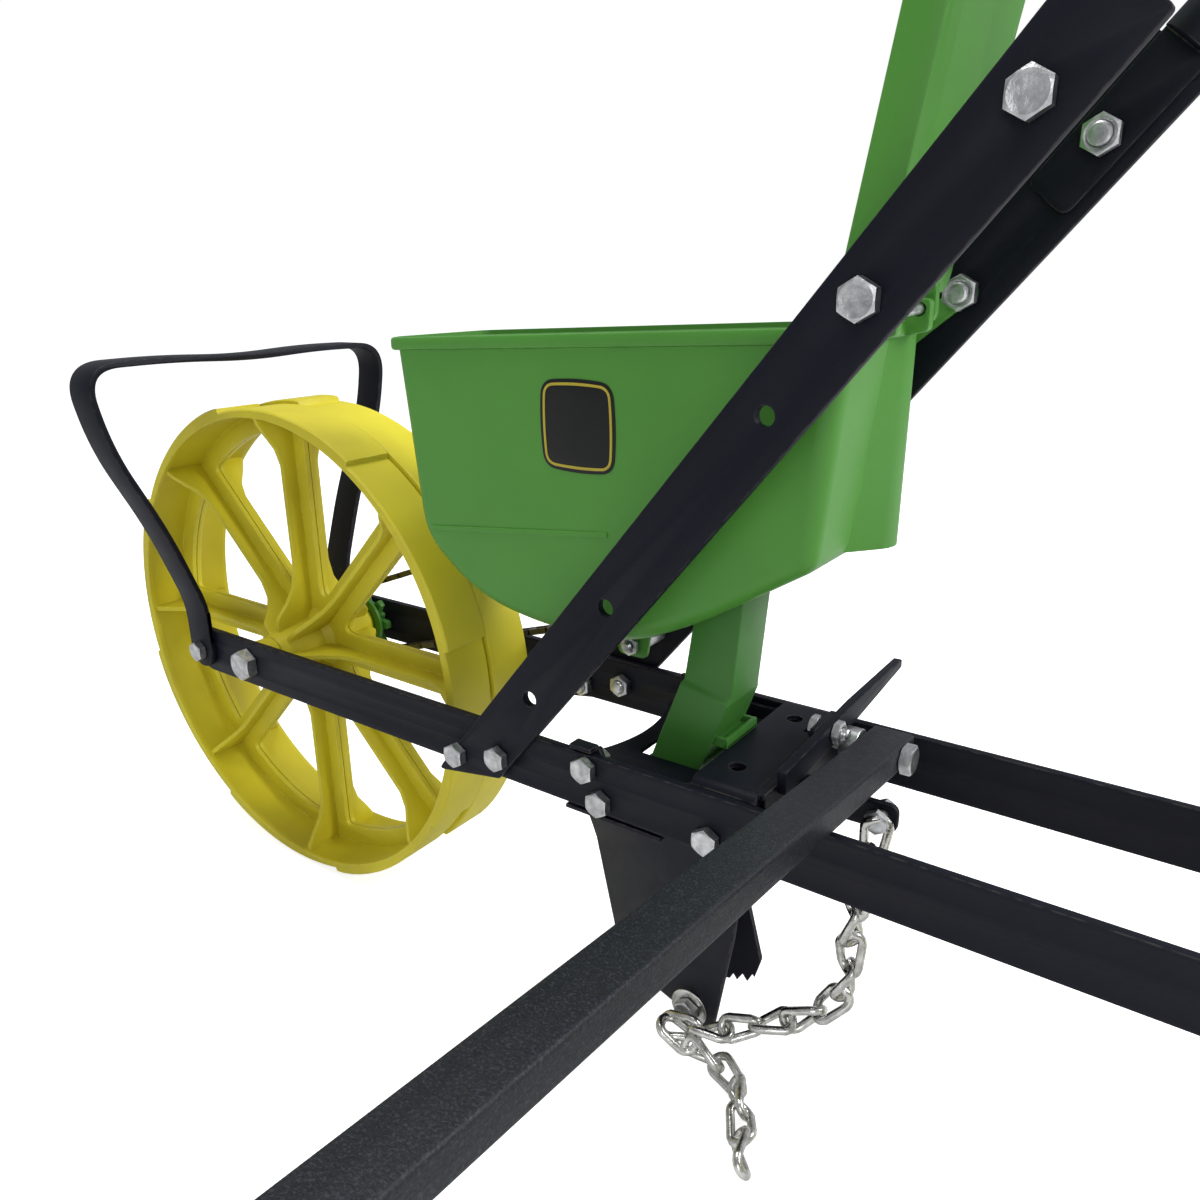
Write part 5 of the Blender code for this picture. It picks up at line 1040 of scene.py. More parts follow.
def makeShoe():
    bm = bmesh.new()
    rings = []
    for z, front, frontY, rear, rearY in shoe["rings"]:
        rings.append([
            bm.verts.new(p) for p in ((rear, rearY, z), (front, frontY, z), (front, -frontY, z), (rear, -rearY, z))
        ])
    for upper, lower in zip(rings, rings[1:]):
        for k in range(3):
            bm.faces.new((upper[k], upper[k + 1], lower[k + 1], lower[k]))
    bmesh.ops.recalc_face_normals(bm, faces=bm.faces)
    shell = sheetOf(bm, shoe["sheet"], 0.0, 0.7, 2, 28)
    x, z = shoe["chainBolt"]
    torn = [
        (-400, -66), (-366, -66), (-350, -86), (-345.5, -106), (-358.5, -152), (-355.5, -156.5), (-352, -151.5),
        (-349.5, -157), (-346.5, -152.5), (-343.5, -157.5), (-341, -153.5), (-338, -160), (-338, -175), (-400, -175),
    ]
    # The far plate ends in an uneven edge.
    shell = pierced(shell, [cutterAt((x, 30, z), boltHoles["bar"], 60, "y"), plate(torn, 56, "xz", -31.0, edge=0.02)])
    flap = rounded([(-296, -19), (-340, -19), (-336, 2), (-286, 2)], 2, 3)
    flapY = bracket["outerY"] - shoe["sheet"] - 1.7
    flaps = [plate(flap, shoe["sheet"], "xz", side * flapY, edge=0.5) for side in (1, -1)]
    piece("opener_shoe_piece", [shell, *flaps], "blackCoat", "frame", "opener_shoe")

    wide = bracket["outerY"] - shoe["sheet"] - 3.9
    narrow = wide - 8.7
    arc = [(-291.0 + 10.0 * (y / narrow) ** 2, y) for y in (narrow * (1.0 - 0.1 * k) for k in range(21))]
    outline = [(-350.0, wide), (-318.0, wide), *arc, (-318.0, -wide), (-350.0, -wide)]
    window = rounded(rectangle(-342.0, -25.2, -302.0, 25.2), 2, 4)
    top = plate(outline, shoe["sheet"], "xy", 4.5, [window], 0.5)
    piece("shoe_top_plate_piece", top, "blackCoat", "frame", "shoe_top_plate")


chute = {
    "rings": (
        (83.5, 100.5, -330.0, -358.0, 17.6, -13.0), (52.0, 46.2, -325.6, -353.4, 18.2, -12.4),
        (49.6, 43.6, -324.4, -353.0, 20.6, -13.4), (-9.0, -9.0, -304.0, -334.0, 24.4, -15.0),
    ),
    "wall": 2.0, "lipY": (-12.5, 20.5), "slope": 0.36,
}


def makeChute():
    bm = bmesh.new()
    rings = []
    for high, rearHigh, front, rear, near, far in chute["rings"]:
        rings.append([
            bm.verts.new(p)
            for p in ((front, near, high), (rear, near, rearHigh), (rear, far, rearHigh), (front, far, high))
        ])
    for upper, lower in zip(rings, rings[1:]):
        for k in range(4):
            bm.faces.new((upper[k], upper[(k + 1) % 4], lower[(k + 1) % 4], lower[k]))
    bmesh.ops.recalc_face_normals(bm, faces=bm.faces)
    middle = Vector((-332.0, 0.0, 40.0))
    bm.faces.ensure_lookup_table()
    if bm.faces[0].normal.dot(bm.faces[0].calc_center_median() - middle) < 0:
        bmesh.ops.reverse_faces(bm, faces=bm.faces)
    meshes = [sheetOf(bm, chute["wall"], -1.0, 0.9, 3, 10)]
    # The clip that rests on the deck's front edge.
    far, near = chute["lipY"]
    z = bracket["deckZ"] + gap
    x = -334.0 - (z + 9.0) * chute["slope"]
    meshes.append(block((x - 9.0, far, z), (x + 1.0, near, z + 2.2), 0.7))
    meshes.append(block((x - 9.0, far, z), (x - 6.6, near, z + 5.4), 0.9))
    for y in (far + 1.1, near - 1.3):
        meshes.append(block((x - 8.0, y - 1.1, z + 1), (x - 0.5, y + 1.1, z + 5.2), 0.6))
    piece("seed_chute_piece", meshes, "greenPlastic", "frame", "seed_chute")


makeBracket()
makeShoe()
makeChute()
print("opener and chute made")

# Hopper and lid.

tub = {
    "front": (-146.0, 221.0), "rear": (-412.0, 231.0),
    "belly": ((-156, 108), (-194, 77), (-246, 67), (-299, 69), (-338, 87), (-400, 126)),
    "corners": (16.0, 26.0, 30.0, 30.0, 24.0, 6.0), "rimY": 38.5, "footY": 35.5, "wall": 2.5, "lip": 3.0,
    "lipDeep": 7.0, "edge": 9.0,
}


def tubHalfWidth(z):
    return tub["footY"] + (tub["rimY"] - tub["footY"]) * (z - 67.0) / (tub["rear"][1] - 67.0)


def tubSkin(inset):
    # The tub as one rounded solid, its faces inset from the outside.
    corners = [tub["front"], *tub["belly"], tub["rear"]]
    flat = [corners[0]]
    for before, here, after, radius in zip(corners, corners[1:], corners[2:], tub["corners"]):
        flat += filletPath([before, here, after], radius, 7)[1:-1]
    flat.append(corners[-1])
    profile = []
    for i, point in enumerate(flat):
        here = Vector(point)
        if i in (0, len(flat) - 1):
            profile.append(here + Vector((-1 if i == 0 else 1, 0)) * inset + Vector((0, 4.0 if inset else 0.0)))
            continue
        along = (Vector(flat[i + 1]) - Vector(flat[i - 1])).normalized()
        normal = Vector((-along.y, along.x))
        if normal.dot(Vector((-285.0, 160.0)) - here) < 0:
            normal.negate()
        profile.append(here + normal * inset)
    bm = bmesh.new()
    sides = [
        [bm.verts.new((p.x, side * (tubHalfWidth(p.y) - inset), p.y)) for p in profile] for side in (1, -1)
    ]
    count = len(profile)
    bm.faces.new(sides[0])
    bm.faces.new(sides[1][::-1])
    for i in range(count):
        bm.faces.new((sides[0][i], sides[1][i], sides[1][(i + 1) % count], sides[0][(i + 1) % count]))
    bmesh.ops.recalc_face_normals(bm, faces=bm.faces)
    longEdges = [bm.edges.get((ring[i], ring[i + 1])) for i in range(count - 1) for ring in sides]
    bmesh.ops.bevel(
        bm, geom=longEdges, offset=tub["edge"] - inset, segments=6, profile=0.5, affect="EDGES", clamp_overlap=True
    )
    return outwards(meshFrom(bm), 1e-3)


def rimRing():
    slope = (tub["rear"][1] - tub["front"][1]) / (tub["rear"][0] - tub["front"][0])
    front, rear = tub["front"][0] + tub["lip"], tub["rear"][0] - tub["lip"]
    wide = tub["rimY"] + tub["lip"] - 1.0
    outer = rounded(rectangle(rear, -wide, front, wide), 10.0, 10)
    inset = tub["lip"] + tub["wall"] - 1.0
    inner = rounded(rectangle(rear + inset + 1, inset - wide, front - inset - 1, wide - inset), 7.0, 10)
    ring = plate(outer, tub["lipDeep"], "xy", -0.2 - tub["lipDeep"] / 2, [inner], 1.7)
    for vert in ring.vertices:
        vert.co.z += tub["front"][1] + slope * (vert.co.x - tub["front"][0])
    return ring


lidPivot = (-419.5, 235.5)
earPlateY = handleInY - 3.3
lugBolt = onHandle(handleBar["holes"][0])


def makeHopper():
    body = pierced(tubSkin(0.0), [
        tubSkin(tub["wall"]),
        block((-354.0, -15.0, 60), (-335.0, 15.0, 116), 0.1),
        cutterAt((driveChain["shaft"][0], -40, driveChain["shaft"][1]), 5.35, 40, "y"),
    ])
    meshes = [body, rimRing()]
    x, z = lidPivot
    ear = rounded([(x - 5, z + 4.5), (x - 5, z - 9), (x + 12, z - 13), (x + 12, z - 5.5), (x + 5, z + 4.5)], 3, 5)
    for side in (1, -1):
        meshes.append(plate(ear, 6.0, "xz", side * 20.0, [circle((x, z), 2.85, 20)], 0.8))
    x, z = onHandle(handleBar["earBolt"])
    disc, hole = circle((x, z), 6.7, 32), circle((x, z), boltHoles["handle"], 28)
    strap = rounded([(x - 1, z - 6), (-392, 207), (-385, 207), (-385, 213), (x + 5.5, z + 1)], 2, 3)
    for side in (1, -1):
        meshes.append(plate(disc, 3.0, "xz", side * (earPlateY + 1.5), [hole], 0.7))
        meshes.append(plate(strap, 3.0, "xz", side * (earPlateY + 1.5), edge=0.7))
        low, high = sorted((side * 36.5, side * (earPlateY + 3)))
        meshes.append(block((-396, low, 207), (-385, high, 213), 1.0))
    x, z = lugBolt
    lug = rounded([(x - 10, z - 8), (x + 10, z - 8), (x + 16, 72), (x - 16, 74)], 5, 5)
    meshes.append(plate(lug, 3.0, "xz", -33.0, [circle((x, z), boltHoles["small"], 24)], 0.7))
    # The rib's depth fades upwards, because the wall leans out to meet its edge.
    rib = filletPath([(-398.8, -2), (-414.5, -22), (-415.5, -32), (-398.8, -35)], 5, 5)
    rib = plate(rib, 100.0, "xy", 176.0, edge=1.2)
    for vert in rib.vertices:
        vert.co.x = -415.5 + (vert.co.x + 415.5) * (1.0 - 0.683 * (vert.co.z - 126.0) / 100.0)
    meshes.append(rib)
    piece("hopper_piece", meshes, "greenEnamel", "frame", "hopper", sharp=40)
    makeNearFaceDetails()


badge = {"centre": (-274.0, 181.0), "half": 21.5, "round": 7.0, "line": 1.3, "rise": 0.5}


def nearFaceSheet(outline, thick, holes=()):
    sheet = plate(outline, thick, "xz", 0.0, holes, thick * 0.3)
    for vert in sheet.vertices:
        vert.co.y += tubHalfWidth(vert.co.z) + thick / 2 - 0.05
    return sheet


def bulged(outline, centre, amount):
    # Bows a square's sides out a little.
    made = []
    for x, z in outline:
        u, v = (x - centre[0]) / badge["half"], (z - centre[1]) / badge["half"]
        made.append((x + u * (1 - min(1, abs(v)) ** 2) * amount, z + v * (1 - min(1, abs(u)) ** 2) * amount))
    return made


def squareOutline(centre, half, radius):
    x, z = centre
    corners = rounded(rectangle(x - half, z - half, x + half, z + half), radius, 8)
    dense = []
    for a, b in zip(corners, [*corners[1:], corners[0]]):
        steps = max(1, int((Vector(b) - Vector(a)).length // 3))
        dense += [tuple(Vector(a).lerp(Vector(b), k / steps)) for k in range(steps)]
    return dense


def makeNearFaceDetails():
    # A plain badge with a line round it, and the low moulded step under it.
    centre, half = badge["centre"], badge["half"]
    field = bulged(squareOutline(centre, half, badge["round"]), centre, 1.6)
    piece("hopper_badge_field", nearFaceSheet(field, badge["rise"]), "badgeInk", "frame")
    outer = bulged(squareOutline(centre, half - 1.6, badge["round"] - 1.2), centre, 1.5)
    inner = bulged(squareOutline(centre, half - 1.6 - badge["line"], badge["round"] - 2.2), centre, 1.45)
    piece("hopper_badge_line", nearFaceSheet(outer, badge["rise"] + 0.25, [inner]), "badgeLine", "frame")
    ridge = [(-166.0, 113.4), (-291.0, 126.6), (-291.0, 129.6), (-166.0, 116.4)]
    piece("hopper_face_ridge", nearFaceSheet(rounded(ridge, 1.4, 4), 0.7), "greenEnamel", "frame")


lid = {"half": 43.5, "thick": 2.0, "skirt": 17.0, "open": math.radians(102.4), "length": 287.0, "start": 6.5}


def makeLid():
    slope = math.atan2(tub["rear"][1] - tub["front"][1], tub["front"][0] - tub["rear"][0])
    top, half, length, thick, skirt = 2.2, lid["half"], lid["length"], lid["thick"], lid["skirt"]
    outer = rounded(rectangle(lid["start"], -half, length, half), 9.0, 10)
    inner = rounded(rectangle(lid["start"] - 14.0, thick - half, length - thick, half - thick), 7.5, 10)
    pan = plate(outer, skirt, "xy", top - skirt / 2, edge=1.6)
    scoop = plate(inner, skirt, "xy", top - thick - skirt / 2, edge=0.8)
    # Slots for the tub's hinge ears.
    slots = [block((0.0, y - 4.2, -6), (10.5, y + 4.2, top + 3), 0.05) for y in (20, -20)]
    meshes = [pierced(pan, [scoop, *slots])]
    ear = rounded([(-5, -4.5), (9, -1.0), (14, 1.6), (-1, 5.0), (-5, 4.5)], 2.5, 5)
    for y in (27.5, -27.5):
        meshes.append(plate(ear, 5.0, "xz", y, [circle((0, 0), 2.8, 20)], 0.7))
    meshes.append(block((length - 1, -14, top - 3.0), (length + 9, 14, top), 1.2))
    for y in (-18.0, 18.0):
        meshes.append(block((30.0, y - 0.9, top - thick - 2.4), (length - 26.0, y + 0.9, top - thick + 0.2), 0.5))
    turn = Matrix.Translation((lidPivot[0], 0, lidPivot[1])) @ Matrix.Rotation(slope - lid["open"], 4, "Y")
    piece("hopper_lid_piece", [moved(m, turn) for m in meshes], "greenEnamel", "lid", "hopper_lid")
    x, z = lidPivot
    pin = [roundBar((x, -33, z), (x, 33, z), 2.45, 20, 0.5)]
    piece("lid_hinge_pin_piece", pin, "zincPlate", "frame", "lid_hinge_pin")


makeHopper()
makeLid()
print("hopper and lid made")

# Press wheel.

pressWheel = {"radius": 95.0, "width": 58.0, "x": -690.0, "z": -79.0, "windows": 6, "windowR": 16.0}
hangerOut = barInnerY - 0.4


def makePressWheel():
    half, radius = pressWheel["width"] / 2, pressWheel["radius"]
    hub = hangerOut - sideBar["thick"] - 1.0
    rimIn = radius - 5.0
    rim = lathe(rounded([
        (radius, half - 3), (radius - 2.0, half), (rimIn - 2, half), (rimIn - 3, 4.5), (rimIn - 3, -4.5),
        (rimIn - 2, -half), (radius - 2.0, -half), (radius, -half + 3),
    ], 1.5, 3), steps=120)
    turns = (2 * math.pi * k / pressWheel["windows"] for k in range(pressWheel["windows"]))
    windows = [circle(onCircle(turn, 54), pressWheel["windowR"], 36) for turn in turns]
    web = plate(circle((0, 0), rimIn - 1.5, 96), 10.0, "xz", 0.0, windows, 1.2)
    boss = [(24.0, 4.6), (19.0, hub), (7.0, hub), (7.0, -hub), (19.0, -hub), (24.0, -4.6)]
    boss = lathe(rounded(boss, 1.5, 3))
    x, z = pressWheel["x"], pressWheel["z"]
    wheel = [moved(m, Matrix.Translation((x, 0, z))) for m in (rim, web, boss)]
    piece("press_wheel_piece", wheel, "yellowEnamel", "press_wheel", "press_wheel")
    outline = rounded(rectangle(x - 19, z - 22, x + 19, 15.0), 12, 8)
    holes = [circle(p, boltHoles["bar"], 24) for p in (*hangerBolts, (x, -30.0))]
    holes.append(circle((x, z), boltHoles["axle"], 32))
    near = plate(outline, sideBar["thick"], "xz", hangerOut - sideBar["thick"] / 2, holes, 0.7)
    pieceAndMirror("press_hanger", [near], "blackCoat")


makePressWheel()
print("press wheel made")

# Row marker, its stop bar and the drag chain's hanger.

hangerHole = (-429.0, -3.0)


def makeMarker():
    halfX, halfZ = (markerArm["x"][1] - markerArm["x"][0]) / 2, markerArm["deep"] / 2
    wall, root, length = markerArm["wall"], markerArm["root"], markerArm["length"]
    outer = rounded(rectangle(-halfX, -halfZ, halfX, halfZ), 2.2, 5)
    inner = rounded(rectangle(wall - halfX, wall - halfZ, halfX - wall, halfZ - wall), 1.0, 3)
    tube = plate(outer, length + root, "xz", (length - root) / 2, [inner], 0.3)
    rodY = length - markerArm["rodBack"]
    tube = pierced(tube, [
        cutter(boltHoles["handle"], 60, "x"), cutterAt((0, rodY, 0), markerArm["rodR"] + 0.4, 60),
    ])
    place = Vector((sum(markerArm["x"]) / 2, markerArm["pivotY"], armPivotZ))
    turn = Matrix.Translation(place) @ Matrix.Rotation(markerArm["tilt"], 4, "X")
    piece("marker_arm_piece", moved(tube, turn), "blackTexture", "marker", "marker_arm")

    spot = turn @ Vector((0, rodY, 0))
    down = (turn.to_3x3() @ Vector((0, 0, -1))).normalized()
    r = markerArm["rodR"]
    drop = (spot.z + frontWheel["radius"] - r) / -down.z
    top, tip = spot - down * 32.0, spot + down * drop
    total = (tip - top).length
    stem = lathe([
        (0, 0), (r - 0.6, 0), (r, 0.8), (r, total - 30), (r * 0.86, total - 16), (r * 0.5, total - 5), (0, total),
    ], steps=28)
    stem.transform(between(top, tip))
    collars = [roundBar(spot + down * a, spot + down * b, 9.8, 32, 0.8) for a, b in ((8.4, 17.0), (-17.0, -8.4))]
    across = turn.to_3x3() @ Vector((0, 1, 0))
    for a in (12.7, -12.7):
        collars.append(roundBar(spot + down * a + across * 8.0, spot + down * a + across * 12.4, 2.6, 16, 0.4))
    piece("marker_rod_piece", [stem, *collars], "zincPlate", "marker", "marker_rod")

    flangeRear = bracket["rearX"] - bracket["sheet"]
    stopY = (-118.0, 40.0)
    middleY, width, thick, high = sum(stopY) / 2, stopY[1] - stopY[0], 5.0, 12.7
    tilt = math.radians(3.0)
    outline = rounded([
        (-width / 2, -2.6), (73 - width / 2, -high / 2), (width / 2, -high / 2), (width / 2, high / 2),
        (73 - width / 2, high / 2), (-width / 2, 2.6),
    ], 1.2, 4)
    bar = plate(outline, thick, "yz", flangeRear - gap - thick / 2, edge=0.6)
    middleZ = stopBolt[1] - 1.6 + (stopBolt[0] - middleY) * math.tan(tilt)
    bar.transform(Matrix.Translation((0, middleY, middleZ)) @ Matrix.Rotation(-tilt, 4, "X"))
    bar = pierced(bar, [
        cutterAt((-390, markerArm["pivotY"], armPivotZ), 10.0, 80, "x"),
        cutterAt((-390, *stopBolt), boltHoles["small"], 80, "x"),
    ])
    piece("marker_stop_bar_piece", bar, "blackCoat", "frame", "marker_stop_bar")

    rear = flangeRear - 0.6 - thick
    start = Vector((markerArm["x"][1] + gap, markerArm["pivotY"], armPivotZ))
    washer = lathe(collar(9.4, 5.1, 0, rear - markerArm["x"][1] - 0.6), steps=40)
    washer.transform(between(start, start + Vector((1, 0, 0))))
    piece("pivot_washer_piece", washer, "zincPlate", "frame", "pivot_washer")

    face = flangeRear - gap
    x, z = hangerHole
    foot = block((face - 3, -3, -12), (face, 26, 6), 0.7)
    leg = rounded([(face, -12), (face, 4), (x - 8, 4), (x - 8, z - 8)], 5, 5)
    leg = plate(leg, 3.0, "xz", -1.5, [circle((x, z), boltHoles["small"], 24)], 0.6)
    piece("chain_hanger_piece", [foot, leg], "blackCoat", "frame", "chain_hanger")


makeMarker()
print("row marker made")

# Bolts, nuts and spacers.

# Radius of the shank, width across the flats, height of the head or nut.
boltSizes = {
    "small": (3.17, 11.1, 4.2), "bar": (3.97, 12.7, 5.4), "handle": (4.76, 14.3, 6.2), "axle": (6.35, 19.0, 8.0),
}


def hexRadius(angle, flats):
    inSide = (angle + math.pi / 6) % (math.pi / 3) - math.pi / 6
    return flats / 2 / math.cos(inSide)


def hexSolid(flats, rings, steps=48, bore=None):
    # Stacks rings into one head or nut. The value is a share of the hexagon, or the radius of a circle or chamfer.
    bm = bmesh.new()
    made = []
    for kind, value, height in rings:
        ring = []
        for k in range(steps):
            a = 2 * math.pi * k / steps
            if kind == "hex":
                r, z = hexRadius(a, flats) * value, height
            elif kind == "chamfer":
                r = hexRadius(a, flats)
                z = height - (r - value) * 0.5
            else:
                r, z = value, height
            ring.append(bm.verts.new((*onCircle(a, r), z)))
        made.append(ring)
    for ring, after in zip(made, made[1:]):
        for k in range(steps):
            bm.faces.new((ring[k], ring[(k + 1) % steps], after[(k + 1) % steps], after[k]))
    if bore:
        for k in range(steps):
            bm.faces.new((made[-1][k], made[-1][(k + 1) % steps], made[0][(k + 1) % steps], made[0][k]))
    else:
        bm.faces.new(made[0][::-1])
        bm.faces.new(made[-1])
    return outwards(meshFrom(bm))


def headMesh(size):
    # Lies below its seat, so that the seat is at zero and the head at minus its height.
    _, flats, high = size
    top = flats * 0.455
    head = hexSolid(flats, [
        ("circle", flats * 0.475, 0.0), ("circle", flats * 0.475, 0.35), ("hex", 1.0, 0.36), ("chamfer", top, high),
        ("circle", top, high), ("circle", top * 0.82, high - 0.25), ("circle", top * 0.72, high - 0.32),
    ])
    head.transform(Matrix.Rotation(math.pi, 4, "X"))
    return head


def nutMesh(size):
    radius, flats, high = size
    top = flats * 0.46
    return hexSolid(flats, [
        ("circle", radius * 0.96, 0.0), ("circle", flats * 0.475, 0.0), ("circle", flats * 0.475, 0.3),
        ("hex", 1.0, 0.31), ("chamfer", top, high), ("circle", top, high), ("circle", radius * 1.25, high),
        ("circle", radius * 0.96, high - 0.7),
    ], bore=True)


def shankMesh(size):
    # One unit long, ridged all along like a threaded rod.
    radius = size[0]
    turns = 12
    profile = [(0.0, 0.0)]
    for k in range(turns):
        profile += [(radius * 0.9, k / turns + 0.01), (radius * 0.985, (k + 0.5) / turns)]
    profile += [(radius * 0.82, 0.995), (radius * 0.74, 1.0), (0.0, 1.0)]
    mesh = lathe(profile, steps=20)
    mesh.transform(Matrix.Rotation(math.pi / 2, 4, "X"))
    return mesh


def boltRow(name, sizeName, entries, body="frame", nodes=()):
    # entries hold (seat of the head, end of the shank, seat of the nut).
    size = boltSizes[sizeName]
    points = bpy.data.meshes.new("boltPoints")
    points.from_pydata([tuple(seat) for seat, end, nut in entries], [], [])
    aims, reaches, nuts = [], [], []
    for seat, end, nut in entries:
        along = Vector(end) - Vector(seat)
        aims += list(along.normalized())
        reaches.append(along.length)
        nuts.append((Vector(nut) - Vector(seat)).length)
    for key, kind, field, values in (
        ("aim", "FLOAT_VECTOR", "vector", aims), ("reach", "FLOAT", "value", reaches),
        ("nutAt", "FLOAT", "value", nuts),
    ):
        points.attributes.new(key, kind, "POINT").data.foreach_set(field, values)
    values = {"Head": headMesh(size), "Shank": shankMesh(size), "Nut": nutMesh(size), "Finish": finishes["zincPlate"]}
    piece(name, grown(points, trees["bolts"], values), "zincPlate", body, *nodes, sharp=28)


def acrossPair(place, seat, end, nut, sides=(1, -1)):
    x, z = place
    return [((x, s * seat, z), (x, s * end, z), (x, s * nut, z)) for s in sides]


def makeBolts():
    outer, inner = sideBar["outerY"], barInnerY
    bars = acrossPair((archX, 0), outer + 0.6 + arch["thick"], inner - 9, inner - 0.3)
    for place in handleBolts:
        bars += acrossPair(place, handleInY + sideBar["thick"] + gap, inner - 8.5, inner - gap)
    inside = bracket["outerY"] - bracket["sheet"] - gap
    for place in bracketBolts:
        bars += acrossPair(place, outer + gap, inside - 8, inside)
    hanger = hangerOut - sideBar["thick"] - gap
    bars += acrossPair(hangerBolts[0], outer + gap, hanger - 8, hanger)
    x, z = shoe["chainBolt"]
    wall = shoeWallY(x, z)
    bars.append(((x, wall + 6.6, z), (x, wall - 16.5, z), (x, wall - 10.0, z)))
    boltRow("bar_bolts", "bar", bars, nodes=(
        "near_arch_bolt", "far_arch_bolt", "near_handle_bolt_1", "near_handle_bolt_2", "far_handle_bolt_1",
        "far_handle_bolt_2", "near_bracket_bolt_1", "near_bracket_bolt_2", "near_bracket_bolt_3",
        "far_bracket_bolt_3", "near_hanger_bolt", "far_hanger_bolt", "chain_shoe_bolt",
    ))
    seat, lapIn = handleInY + sideBar["thick"] + gap, handleInY - 5.8
    large = acrossPair(onHandle(handleBar["lapBolt"]), seat, lapIn - 9.0, lapIn - 0.2)
    large += acrossPair(onHandle(handleBar["earBolt"]), seat, earPlateY - 9.0, earPlateY - gap)
    y, z = markerArm["pivotY"], armPivotZ
    front = bracket["rearX"] + gap
    large.append(((markerArm["x"][0] - gap, y, z), (front + 9.0, y, z), (front, y, z)))
    boltRow("handle_bolts", "handle", large, nodes=(
        "near_lap_bolt", "far_lap_bolt", "near_ear_bolt", "far_ear_bolt", "marker_pivot_bolt"
    ))
    seat = outer + gap
    axles = acrossPair((0, 0), seat, -seat - 13.0, -seat, (1,))
    seat = hangerOut + gap
    axles += acrossPair((pressWheel["x"], pressWheel["z"]), seat, -seat - 12.0, -seat, (1,))
    boltRow("axle_bolts", "axle", axles, nodes=("axle_bolt", "press_axle_bolt"))
    y, z = stopBolt
    rear = bracket["rearX"] - bracket["sheet"] - 5.6
    small = [((front, y, z), (rear - 7.7, y, z), (rear, y, z))]
    small += acrossPair(hangerHole, 5.2, -9.4, -3.4, (1,))
    small += acrossPair(lugBolt, handleInY + sideBar["thick"] + 0.6, 24.0, 31.2, (-1,))
    boltRow("small_bolts", "small", small, nodes=("stop_bar_bolt", "chain_hanger_bolt", "lug_bolt"))


def spacer(name, radius, bore, low, high, place, node, finish="zincPlate"):
    piece(name, lathe(collar(radius, bore, low, high, 0.7), place, 40), finish, "frame", node)


def makeSpacers():
    washerOut = barInnerY - gap
    spacer("near_hub_spacer_piece", 13.0, 6.7, 41.3, washerOut, (0, 0, 0), "near_hub_spacer", "yellowEnamel")
    spacer("far_hub_spacer_piece", 11.0, 6.7, -washerOut, driveChain["y"] - 3.9, (0, 0, 0), "far_hub_spacer")
    spacer("lug_spacer_piece", 6.5, 3.52, gap - handleInY, -34.8, (lugBolt[0], 0, lugBolt[1]), "lug_spacer")


makeBolts()
makeSpacers()
print("bolts and spacers made")

# Drag chain.

dragChain = {
    "wire": 2.4, "linkLength": 28.0, "linkWidth": 16.6, "twist": math.radians(75), "pitch": 17.4,
    "loop": (
        (-340.0, 40.0, -149.0), (-352.0, 38.0, -148.0), (-366.0, 31.0, -143.0), (-380.0, 26.0, -138.0),
        (-394.0, 20.0, -131.0), (-410.0, 13.0, -122.0), (-420.0, 9.0, -106.0), (-422.0, 8.5, -86.0),
        (-422.0, 8.5, -62.0), (-426.0, 8.0, -36.0), (-429.0, 7.5, -12.0),
    ),
    "tail": (
        (-340.0, 43.0, -152.0), (-354.0, 41.0, -159.0), (-369.0, 40.0, -165.0), (-381.0, 45.0, -165.3),
        (-386.0, 58.0, -165.3), (-395.0, 69.0, -165.3), (-400.0, 80.0, -165.3),
    ),
}


def chainLink():
    # A welded link whose two ends are turned against each other.
    half = dragChain["linkLength"] / 2 - dragChain["wire"]
    wide = dragChain["linkWidth"] / 2 - dragChain["wire"]
    path = []
    for k in range(24):
        a = 2 * math.pi * k / 24
        x = (half - wide) * (1 if math.cos(a) > 0 else -1) + wide * math.cos(a)
        y = wide * math.sin(a)
        turn = dragChain["twist"] * (x / half) * 0.5
        path.append((x, y * math.cos(turn), y * math.sin(turn)))
    return sweep(path, circle((0, 0), dragChain["wire"], 10), closed=True)


def chainRun(path):
    points = smoothPath(path, 8)
    line = bpy.data.meshes.new("dragLine")
    line.from_pydata([tuple(p) for p in points], [(i, i + 1) for i in range(len(points) - 1)], [])
    total = sum((a - b).length for a, b in zip(points, points[1:]))
    values = {
        "Link": chainLink(), "Links": round(total / dragChain["pitch"]) + 1, "Turn Each": math.radians(90),
        "Finish": finishes["chainZinc"],
    }
    return grown(line, trees["chain"], values)


def makeDragChain():
    x, z = shoe["chainBolt"]
    wall = shoeWallY(x, z)
    washer = lathe(collar(11.5, 4.4, wall + 4.6, wall + 6.2, 0.5, 2), (x, 0, z), 36)
    piece("drag_chain_piece", [chainRun(dragChain["loop"]), washer], "chainZinc", "frame", "drag_chain", sharp=60)
    piece("drag_chain_tail_piece", chainRun(dragChain["tail"]), "chainZinc", "frame", "drag_chain_tail", sharp=60)


makeDragChain()
print("drag chain made")

# Floor, light and camera.

studio = {
    "floor": (0.80, 0.80, 0.80), "floorGlow": 0.74, "sky": 0.42,
    "lamps": (
        {"name": "keyLamp", "at": (-1.9, -1.3, 1.7), "aim": (0.05, -0.3, 0.2), "size": 1.2, "power": 46.0},
        {"name": "topLamp", "at": (0.5, -0.2, 2.6), "aim": (0.15, -0.3, 0.2), "size": 1.4, "power": 34.0},
        {"name": "nearLamp", "at": (-1.0, 2.0, 1.1), "aim": (0.1, -0.2, 0.2), "size": 1.6, "power": 13.0},
    ),
}


